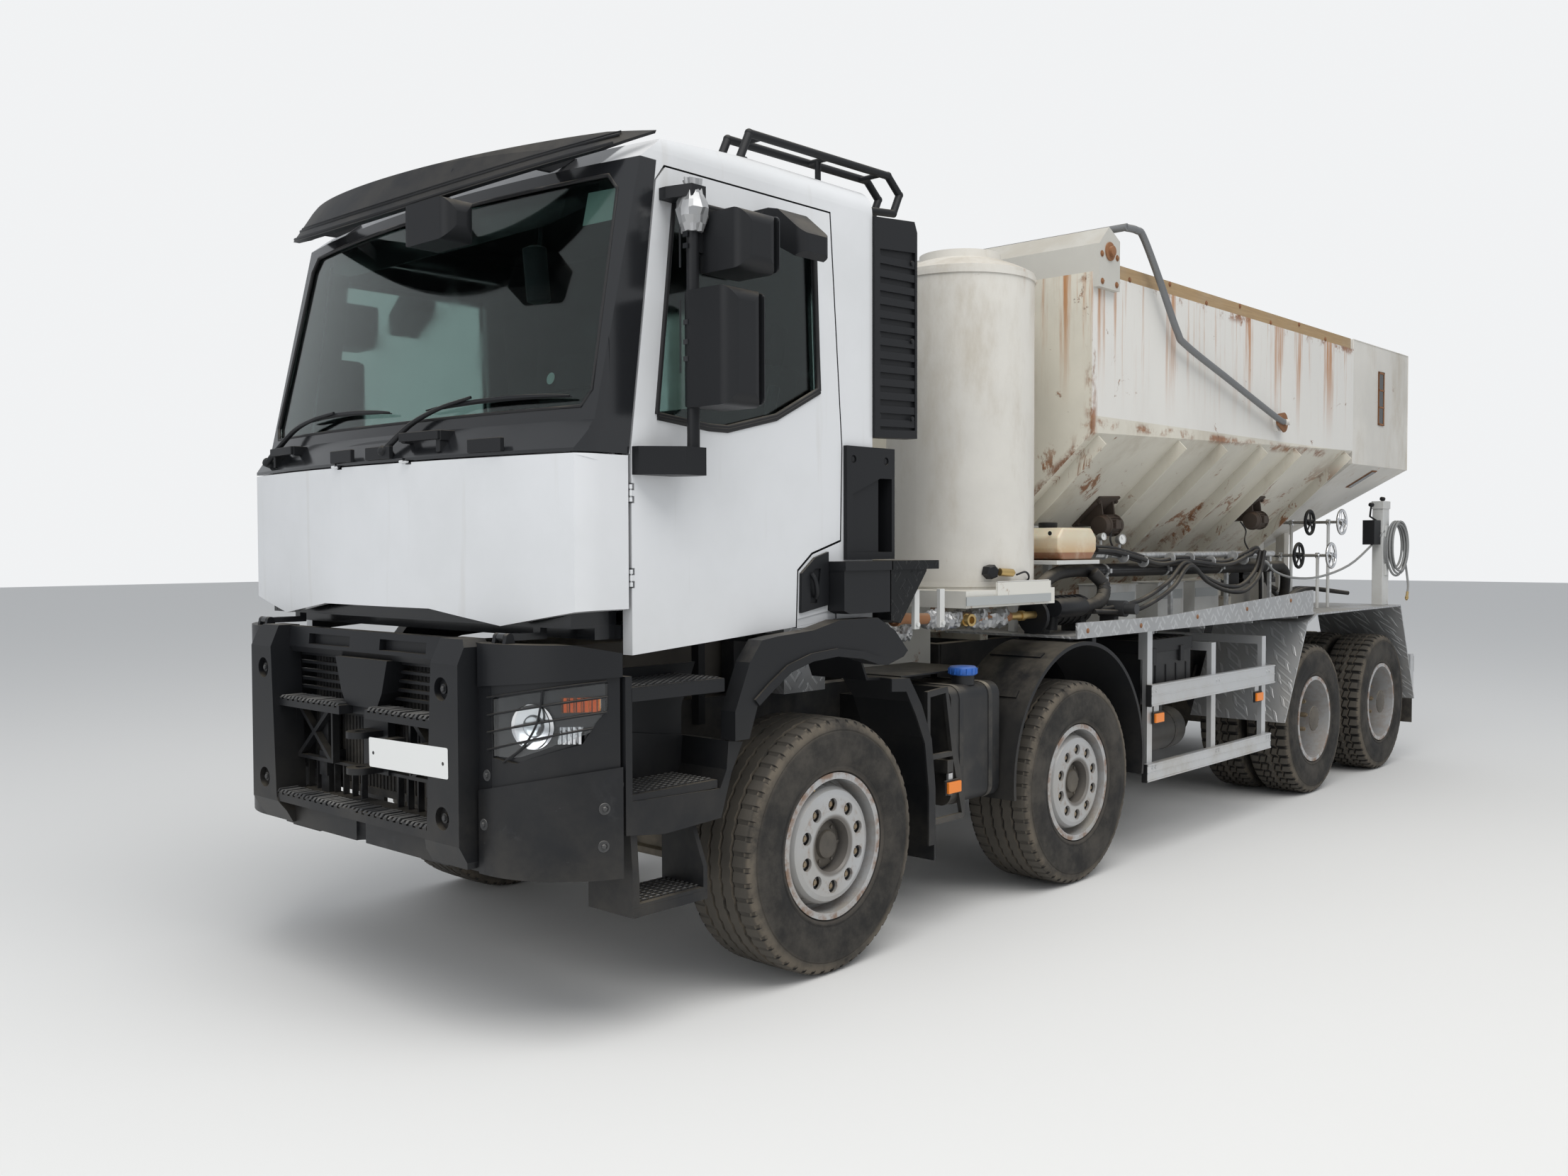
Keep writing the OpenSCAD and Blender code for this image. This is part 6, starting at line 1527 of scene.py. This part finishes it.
# %% Drive shafts and brake chambers
shaft = Kit()
spans = ((-1.55, -3.55, 0.80, 0.72), (-3.62, -5.05, 0.72, 0.60), (-5.50, -6.42, 0.585, 0.56))
for x0, x1, z0, z1 in spans:
    a, b = at(x0, 0, z0), at(x1, 0, z1)
    way = (b - a).normalized()
    shaft.rod([a, b], 0.048, 20)
    for p, w in ((a, way), (b, -way)):
        shaft.turned([(-0.045, 0.074), (-0.028, 0.074), (-0.026, 0.050), (0.05, 0.050), (0.055, 0.056),
                      (0.075, 0.056)], p, w, 20)
        shaft.rod([p + Vector((0, -0.06, 0)), p + Vector((0, 0.06, 0))], 0.017, 10)
shaft.build("drive_shafts", "dirty casting", crease=40)
cans = Kit()
for i, ax in enumerate(AXLES):
    for s in (1, -1):
        y = s * (0.52 if i < 2 else 0.45)
        for dx, way in ((0.17, 1), (-0.17, -1)) if i > 1 else ((-0.19, -1),):
            p = Vector((ax + dx, y, WHEEL_Z + 0.09))
            cans.turned([(0, 0.068), (0.03, 0.078), (0.05, 0.078), (0.052, 0.084), (0.062, 0.084), (0.064, 0.076),
                         (0.10, 0.074), (0.125, 0.05)], p, (way, 0, 0.12), 20)
            cans.rod([p + Vector((0.10 * way, 0, 0.05)), p + Vector((0.16 * way, 0, 0.16)),
                      p + Vector((0.10 * way, 0, 0.26))], 0.010, 8)
            cans.brick(p + Vector((-0.09 if way > 0 else -0.012, -0.04, -0.10)),
                       p + Vector((0.012 if way > 0 else 0.09, 0.04, 0.06)))
cans.build("brake_chambers", "chassis paint", crease=40)
print("rear and under pieces made")

# %% [markdown]
# The tanks under the deck differ by side: black plastic and black air tanks on the left, a bare metal fuel
# tank on the right. One finish on one solid can do both, because it asks on which side it is. The bumper
# has its own plastic, scuffed pale where walls and boots have rubbed it.

# %% Tank and bumper finishes
tanks = Finish("chassis tanks", rough=0.5)
ty = tanks.axes()[1]
left = tanks.step(ty, 0.0, 0.01)
bare, share = dusted(tanks, tanks.mix(tanks.noise(2.0, 5.0), (0.40, 0.41, 0.42), (0.30, 0.31, 0.32)), 0.5, 0.4, 1.5)
dark, _ = dusted(tanks, (0.009, 0.010, 0.012), 0.28, 0.16, 1.4)
tanks.colour(tanks.mix(left, bare, dark))
tanks.feed(tanks.shader.inputs["Metallic"], 0.5 - left * 0.5)
tanks.relief(tanks.noise(150.0, 3.0), 0.12, 0.001)
keep("chassis tanks", tanks)
dress("chassis_tanks", "chassis tanks")

bump = Finish("bumper plastic", rough=0.5, Specular_IOR_Level=0.32)
bz = bump.axes()[2]
moulded = bump.mix(bump.noise(2.5, 5.0), (0.0078, 0.0085, 0.010), (0.014, 0.015, 0.0175))
base, share = dusted(bump, moulded, 0.24, 0.10, 1.25)
lines = bump.patches(0.655, 0.675, 9.0, 9.0, stretch=(0.8, 0.8, 3.2), rough=0.85, warp=1.2)
lines = lines * (1.0 - bump.step(bz, 0.85, 1.25) * 0.75)
rubbed = bump.patches(0.56, 0.7, 1.9, 6.0, rough=0.7) * (1.0 - bump.step(bz, 0.72, 1.0))
worn = lines * 0.65 | rubbed * 0.35
bump.colour(bump.mix(worn, base, (0.13, 0.13, 0.135)))
bump.rough(bump.capped(0.4, (worn + share) * 0.35))
bump.relief(bump.noise(260.0, 2.0) + lines * -0.8, 0.15, 0.001)
keep("bumper plastic", bump)
dress("bumper", "bumper plastic")
core = Kit().brick(at(1.248, -0.59, 0.74), at(1.256, 0.59, 1.375))
for k in range(46):
    core.brick(at(1.256, -0.585 + 0.0257 * k, 0.76), at(1.262, -0.585 + 0.0257 * k + 0.004, 1.36))
for z in (0.74, 1.05, 1.345):
    core.brick(at(1.246, -0.59, z), at(1.266, 0.59, z + 0.03))
core.build("radiator_core", "chassis paint")
print("two finishes made for tanks and bumper")

# %% [markdown]
# The vibrators hang on the hopper's slope, so they are built in the slope's own axes: along the truck,
# up the slope, and out of it. Each is a motor with ribbed end covers, clamped to a welded plate.

# %% Vibrators
SLOPE, FALL = math.atan2(0.912, 0.988), math.radians(1.5)
def slope(x, up_it, out):
    y = FOOT_Y + up_it * math.cos(SLOPE) + out * math.sin(SLOPE)
    z = up_it * math.sin(SLOPE) - out * math.cos(SLOPE)
    return at(FOOT_X + x * math.cos(FALL) + z * math.sin(FALL), y, FOOT_Z - x * math.sin(FALL) + z * math.cos(FALL))

grained("rusty black", (0.030, 0.022, 0.017), 0.75, grain=60.0, depth=0.5, ledge=0.35, low=0.1, vary=1.2,
        tint=(0.22, 0.11, 0.05))
buzz = Kit()
for x in (-1.05, 1.05):
    along = slope(1, 0, 0) - slope(0, 0, 0)
    out = (slope(0, 0, 1) - slope(0, 0, 0)).normalized()
    buzz.prism([slope(x - 0.12, 0.63, 0.0005), slope(x + 0.12, 0.63, 0.0005), slope(x + 0.12, 0.875, 0.0005),
                slope(x - 0.12, 0.875, 0.0005)],
               (0, 0, 0), out * 0.012)
    for dx in (-0.075, 0.062):
        buzz.prism([slope(x + dx, 0.66, 0.012), slope(x + dx, 0.845, 0.012), slope(x + dx, 0.80, 0.075),
                    slope(x + dx, 0.70, 0.075)],
                   (0, 0, 0), along * 0.013)
    mid = slope(x, 0.75, 0.115)
    buzz.turned([(-0.105, 0.030), (-0.102, 0.052), (-0.070, 0.060), (-0.066, 0.066), (-0.055, 0.066), (-0.053, 0.056),
                 (0.053, 0.056),
                 (0.055, 0.066), (0.066, 0.066), (0.070, 0.060), (0.102, 0.052), (0.105, 0.030)], mid, along, 28)
    for a in around(12):
        side_way = (slope(0, 1, 0) - slope(0, 0, 0)).normalized() * math.cos(a) + out * math.sin(a)
        buzz.prism([mid + side_way * 0.052 + along * -0.05, mid + side_way * 0.064 + along * -0.05,
                    mid + side_way * 0.064 + along * 0.05,
                    mid + side_way * 0.052 + along * 0.05], (0, 0, 0), along.cross(side_way) * 0.004)
    bolts(buzz, [slope(x + dx, u, 0.012) for dx in (-0.10, 0.10) for u in (0.66, 0.845)], out, 0.011, 0.014)
    buzz.brick(mid + Vector((-0.035, 0.030, -0.020)), mid + Vector((0.030, 0.072, 0.030)))
buzz.mirrored().build("vibrator_motors", "rusty black", crease=40, stands_for=["vibrators"])
print("vibrators at", [round(v, 2) for v in slope(1.05, 0.75, 0.115)])

# %% [markdown]
# The cement bin has small windows that show how full it is: three in a column near its top, and one on the
# slope below. They are drawn dark and dull, in rusty frames.

# %% Sight windows
grained("sight glass", (0.018, 0.020, 0.020), 0.12, grain=30.0, depth=0.03, ledge=0.3, low=0.1, top=1.2)
sight, edges = Kit(), Kit()
for k in range(3):
    z = 2.660 + 0.128 * k
    sight.brick(at(-6.500, 1.2352, z), at(-6.400, 1.2385, z + 0.112))
for x0, x1, z0, z1 in ((-6.512, -6.388, 2.644, 2.658), (-6.512, -6.388, 3.030, 3.046),
                       (-6.512, -6.499, 2.644, 3.046), (-6.401, -6.388, 2.644, 3.046),
                       (-6.512, -6.388, 2.773, 2.786), (-6.512, -6.388, 2.901, 2.914)):
    edges.brick(at(x0, 1.2352, z0), at(x1, 1.2425, z1))
low_way = Vector((0, 1.035, 0.63)).normalized()
out_way = Vector((0, 0.63, -1.035)).normalized()
foot = at(0, 1.235, 2.330) - low_way * 0.27
for kit, grow, thick in ((edges, 0.012, 0.006), (sight, 0.0, 0.009)):
    corners = ((-6.50 - grow, -grow), (-6.42 + grow, -grow), (-6.42 + grow, 0.21 + grow), (-6.50 - grow, 0.21 + grow))
    ring = [Vector((X0 + x, foot.y, foot.z)) + low_way * u for x, u in corners]
    kit.prism(ring, out_way * 0.0005, out_way * thick)
sight.mirrored().build("sight_windows", "sight glass")
edges.mirrored().build("sight_window_frames", "rust", ridge=0.002)
print("sight windows:", len(sight.faces) // 6, "panes")

# %% [markdown]
# Small fastenings of the mixer: coach bolts in the boards, the tarpaulin roller's spindle and its end bolts,
# and the weld beads along the bin's edges, which are thin rods half sunk into the sheet.

# %% Board bolts, roller ends and weld beads
fast = Kit()
bolts(fast, [at(-2.45 - 0.47 * k, 1.248, 3.150 + 0.045 * (k % 2) + 0.012) for k in range(7)], (0, 1, 0), 0.010, 0.007)
bolts(fast, [at(x, 1.285, z) for x, z in ((-2.090, 3.10), (-2.240, 3.10), (-2.085, 3.24), (-2.245, 3.24))], (0, 1, 0),
      0.011, 0.008)
fast.turned([(0, 0.048), (0.008, 0.048), (0.010, 0.026), (0.026, 0.026), (0.028, 0.016)], at(-2.165, 1.284, 3.262),
            (0, 1, 0), 20)
bolts(fast, [at(x, 1.250, z) for x, z in ((-2.02, 1.30), (-2.60, 1.30), (-3.30, 1.32), (-4.00, 1.34), (-4.70, 1.37))],
      (0, 1, 0), 0.009, 0.006)
fast.mirrored().build("board_bolts", "rust", crease=40)
beads = Kit()
for x in (-7.0665, -5.8535):
    for y in (1.2345, -1.2345):
        beads.rod([at(x, y, 2.335 + 0.0446 * k) for k in range(21)], 0.0045, 6)
for y in (1.2345, -1.2345):
    beads.rod([at(-7.066, y, 2.332), at(-5.854, y, 2.332)], 0.005, 6)
    beads.rod([at(-7.066, y, 3.2285), at(-5.854, y, 3.2285)], 0.0045, 6)
beads.rod([at(-7.0685, -1.23, 2.332), at(-7.0685, 1.23, 2.332)], 0.0012, 6)
ring = [at(-6.460 + 0.302 * math.cos(a), 0.302 * math.sin(a), 3.232)
        for a in (2 * math.pi * k / 48 for k in range(49))]
beads.rod(ring, 0.005, 6)
beads.build("bin_weld_beads", "bin white", crease=60)
print("bolts and weld beads:", len(fast.faces) + len(beads.faces), "faces")

# %% [markdown]
# Rubber skirts keep the dust in where the bin empties, with folds that bulge as the rubber is pressed. They
# and a black block beside them fill the space under the bin with dark, as painted shade of its underside.
# The boom's collars are bands bolted round its tube, and ride on the boom, so they swing and lift with it.

# %% Rubber skirts, a dark fill for the shade under the bin, and the boom's collars
skirts_and_shade_fill = Kit()
low = [(-6.90, -0.27), (-6.22, -0.27), (-6.22, 0.27), (-6.90, 0.27)]
high = [(-6.752, -0.204), (-6.348, -0.204), (-6.348, 0.204), (-6.752, 0.204)]
verts = [at(x, y, 1.431) for x, y in low] + [at(x, y, 1.716) for x, y in high]
skirts_and_shade_fill.take(verts, [[3, 2, 1, 0], [4, 5, 6, 7]] + [[k, (k + 1) % 4, 4 + (k + 1) % 4, 4 + k] for k in range(4)])
for k in range(5):
    t = (k + 0.5) / 5
    loop = [at(low[j % 4][0] * (1 - t) + high[j % 4][0] * t, low[j % 4][1] * (1 - t) + high[j % 4][1] * t,
               1.431 + 0.285 * t) for j in range(5)]
    skirts_and_shade_fill.rod(loop, 0.012, 8)
# This black block, with the strips on its face, is painted shade: it darkens the space under the bin behind the
# handwheels.
skirts_and_shade_fill.brick(at(-6.16, -0.262, 1.431), at(-5.83, 0.262, 1.700))
for k in range(6):
    skirts_and_shade_fill.brick(at(-6.166, -0.25 + 0.09 * k, 1.44), at(-6.160, -0.21 + 0.09 * k, 1.69))
skirts_and_shade_fill.build("rubber_skirts_and_shade_fill", "hose rubber", crease=50, ridge=0.006)
boom_body = body_of(frame["nodes"]["boom"])[0]
collar = Kit()
base, lean = at(-7.480, 0, 1.200), math.radians(86)     # the folded boom stands nearly upright
way = Vector((-math.cos(lean), 0, math.sin(lean)))
for along in (0.16, 0.75, 1.40, 2.02):
    collar.turned([(-0.018, 0.1152), (-0.016, 0.1200), (0.016, 0.1200), (0.018, 0.1152)], base + way * along, way, 30)
for along in (0.32, 0.55, 1.0, 1.22, 1.62, 1.84):
    bolts(collar, [base + way * along + Vector((0, 0.114, 0))], (0, 1, 0), 0.009, 0.006, False)
    bolts(collar, [base + way * along + Vector((0, -0.114, 0))], (0, -1, 0), 0.009, 0.006, False)
collar.build("boom_collars", "rusty grey", boom_body, crease=40)
print("boom runs along", [round(v, 2) for v in way])

# %% [markdown]
# Behind the screen: the dark band along its top, a paper pass in its corner, the hanging mirror, an
# instrument hood, a display, vents, pedals and a gear stalk. They ride on the cab, so they tilt with it.

# %% Cab interior
def sheet_on_screen(kit, points, out):
    ring = [nose(y, z, out) for y, z in points]
    return kit.prism(ring, (0, 0, 0), (-0.002, 0, 0))

band = Kit()
for k in range(24):
    y0, y1 = -0.93 + 1.86 * k / 24, -0.93 + 1.86 * (k + 1) / 24
    low = [2.917 + 0.055 * max(0.0, abs(y) - 0.25) ** 1.4 + (0.18 * max(0.0, abs(y) - 0.70)) for y in (y0, y1)]
    sheet_on_screen(band, [(y0, low[0]), (y1, low[1]), (y1, 3.062), (y0, 3.062)], -0.052)
band.build("screen_band", "lamp black", "cab", crease=60)
grained("paper pass", (0.62, 0.74, 0.70), 0.6, grain=40.0, depth=0.1, ledge=0.0, low=0.0, vary=0.05)
paper = Kit()
sheet_on_screen(paper, [(0.888, 2.906), (1.040, 2.912), (1.040, 3.030), (0.888, 3.030)], -0.050)
paper.turned([(0, 0.022), (0.001, 0.022)], nose(0.86, 2.345, -0.050), (1, 0, 0.2), 20)
paper.build("paper_pass", "paper pass", "cab")
inside = Kit()
inside.rod([nose(0.60, 3.03, -0.08), nose(0.58, 2.93, -0.13), nose(0.56, 2.86, -0.15)], 0.008, 8)
m = nose(0.56, 2.78, -0.16)
inside.turned([(-0.11, 0.020), (-0.10, 0.046), (0.10, 0.046), (0.11, 0.020)], m, (0.1, 0, 1), 20)
hood = ((-0.84, 2.13), (-0.36, 2.13), (-0.38, 2.225), (-0.46, 2.262), (-0.74, 2.262), (-0.82, 2.225))
inside.prism([at(0.66, y, z) for y, z in hood], (0, 0, 0), (0.26, 0, 0))
inside.prism([at(0.70, y, z) for y, z in ((-0.20, 2.14), (0.16, 2.14), (0.16, 2.30), (-0.20, 2.30))], (0, 0, 0),
             (0.025, 0, 0))
for y in (-0.95, -0.26, 0.24, 0.66, 0.95):
    for k in range(4):
        inside.brick(at(0.732, y - 0.055, 2.035 + 0.018 * k), at(0.742, y + 0.055, 2.043 + 0.018 * k))
for y in (-0.72, -0.56, -0.45):
    inside.rod([at(0.80, y, 1.90), at(0.70, y, 1.62), at(0.62, y, 1.56)], 0.011, 8)
    inside.brick(at(0.57, y - 0.035, 1.53), at(0.63, y + 0.035, 1.55))
inside.rod([at(0.56, -0.34, 2.08), at(0.52, -0.26, 2.12)], 0.010, 8)
inside.rod([at(0.58, -0.86, 2.08), at(0.54, -0.94, 2.12)], 0.010, 8)
for y in (-0.6, 0.6):
    for sgn in (-1, 1):
        inside.rod(curved([at(0.0, y + sgn * 0.225, 1.89), at(0.02, y + sgn * 0.245, 2.05),
                           at(-0.03, y + sgn * 0.240, 2.25), at(-0.09, y + sgn * 0.225, 2.42)], 6),
                   0.028, 8)
        inside.rod([at(0.03, y + sgn * 0.215, 1.905), at(0.47, y + sgn * 0.215, 1.905)], 0.026, 8)
    inside.brick(at(0.05, y + (0.28 if y < 0 else -0.34), 2.04), at(0.36, y + (0.34 if y < 0 else -0.28), 2.085))
inside.build("cab_fittings", "seat cloth", "cab", crease=40, ridge=0.004)
print("cab fittings:", len(inside.faces), "faces")

# %% [markdown]
# Each side window sits in a rubber that runs round it as one loop, with a thicker wiper strip on its lower
# edge. Grab handles and screw heads go on the cab's corner, which the doors close against.

# %% Window rubbers and handles
for side, s in (("left", 1), ("right", -1)):
    rubber = Kit()
    shape = [(0.880, 2.215), (0.620, 2.190), (0.520, 2.190), (0.248, 2.253), (-0.010, 2.378), (0.015, 3.000),
             (0.790, 3.000)]
    loop = []
    for k, (x, z) in enumerate(shape):
        x2, z2 = shape[(k + 1) % len(shape)]
        loop += [at(x + (x2 - x) * i / 4, s * 1.1475, z + (z2 - z) * i / 4) for i in range(4)]
    rubber.rod(loop + loop[:1], 0.011, 8)
    sill = ((0.88, 2.213), (0.62, 2.188), (0.52, 2.188), (0.248, 2.251), (-0.012, 2.376))
    rubber.rod([at(x, s * 1.1500, z - 0.008) for x, z in sill], 0.010, 8)
    rubber.rod([at(0.015, s * 1.146, 2.99), at(0.79, s * 1.146, 2.99)], 0.010, 8)
    rubber.build(f"window_rubber_{side}", "hose rubber", f"{side}_door", crease=60)
handle = Kit()
handle.rod(curved([at(0.055, 1.166, 1.63), at(0.045, 1.178, 1.60), at(0.035, 1.178, 1.555), at(0.030, 1.166, 1.53)],
                  6), 0.010, 8)
for x, z in ((-0.21, 2.105), (-0.43, 2.105)):
    handle.turned([(0, 0.013), (0.010, 0.013), (0.012, 0.009)], at(x, 1.155, z), (0, 1, 0), 6)
for x in (-0.62, -0.40):
    for z in (2.30, 2.64, 2.98):
        handle.turned([(0, 0.011), (0.006, 0.011), (0.007, 0.007)], at(x, 1.165 if x < -0.5 else 1.152, z), (0, 1, 0),
                      12)
handle.mirrored().build("cab_handles", "black plastic", "cab", crease=50)
print("cab pieces ride on cab, left_door and right_door")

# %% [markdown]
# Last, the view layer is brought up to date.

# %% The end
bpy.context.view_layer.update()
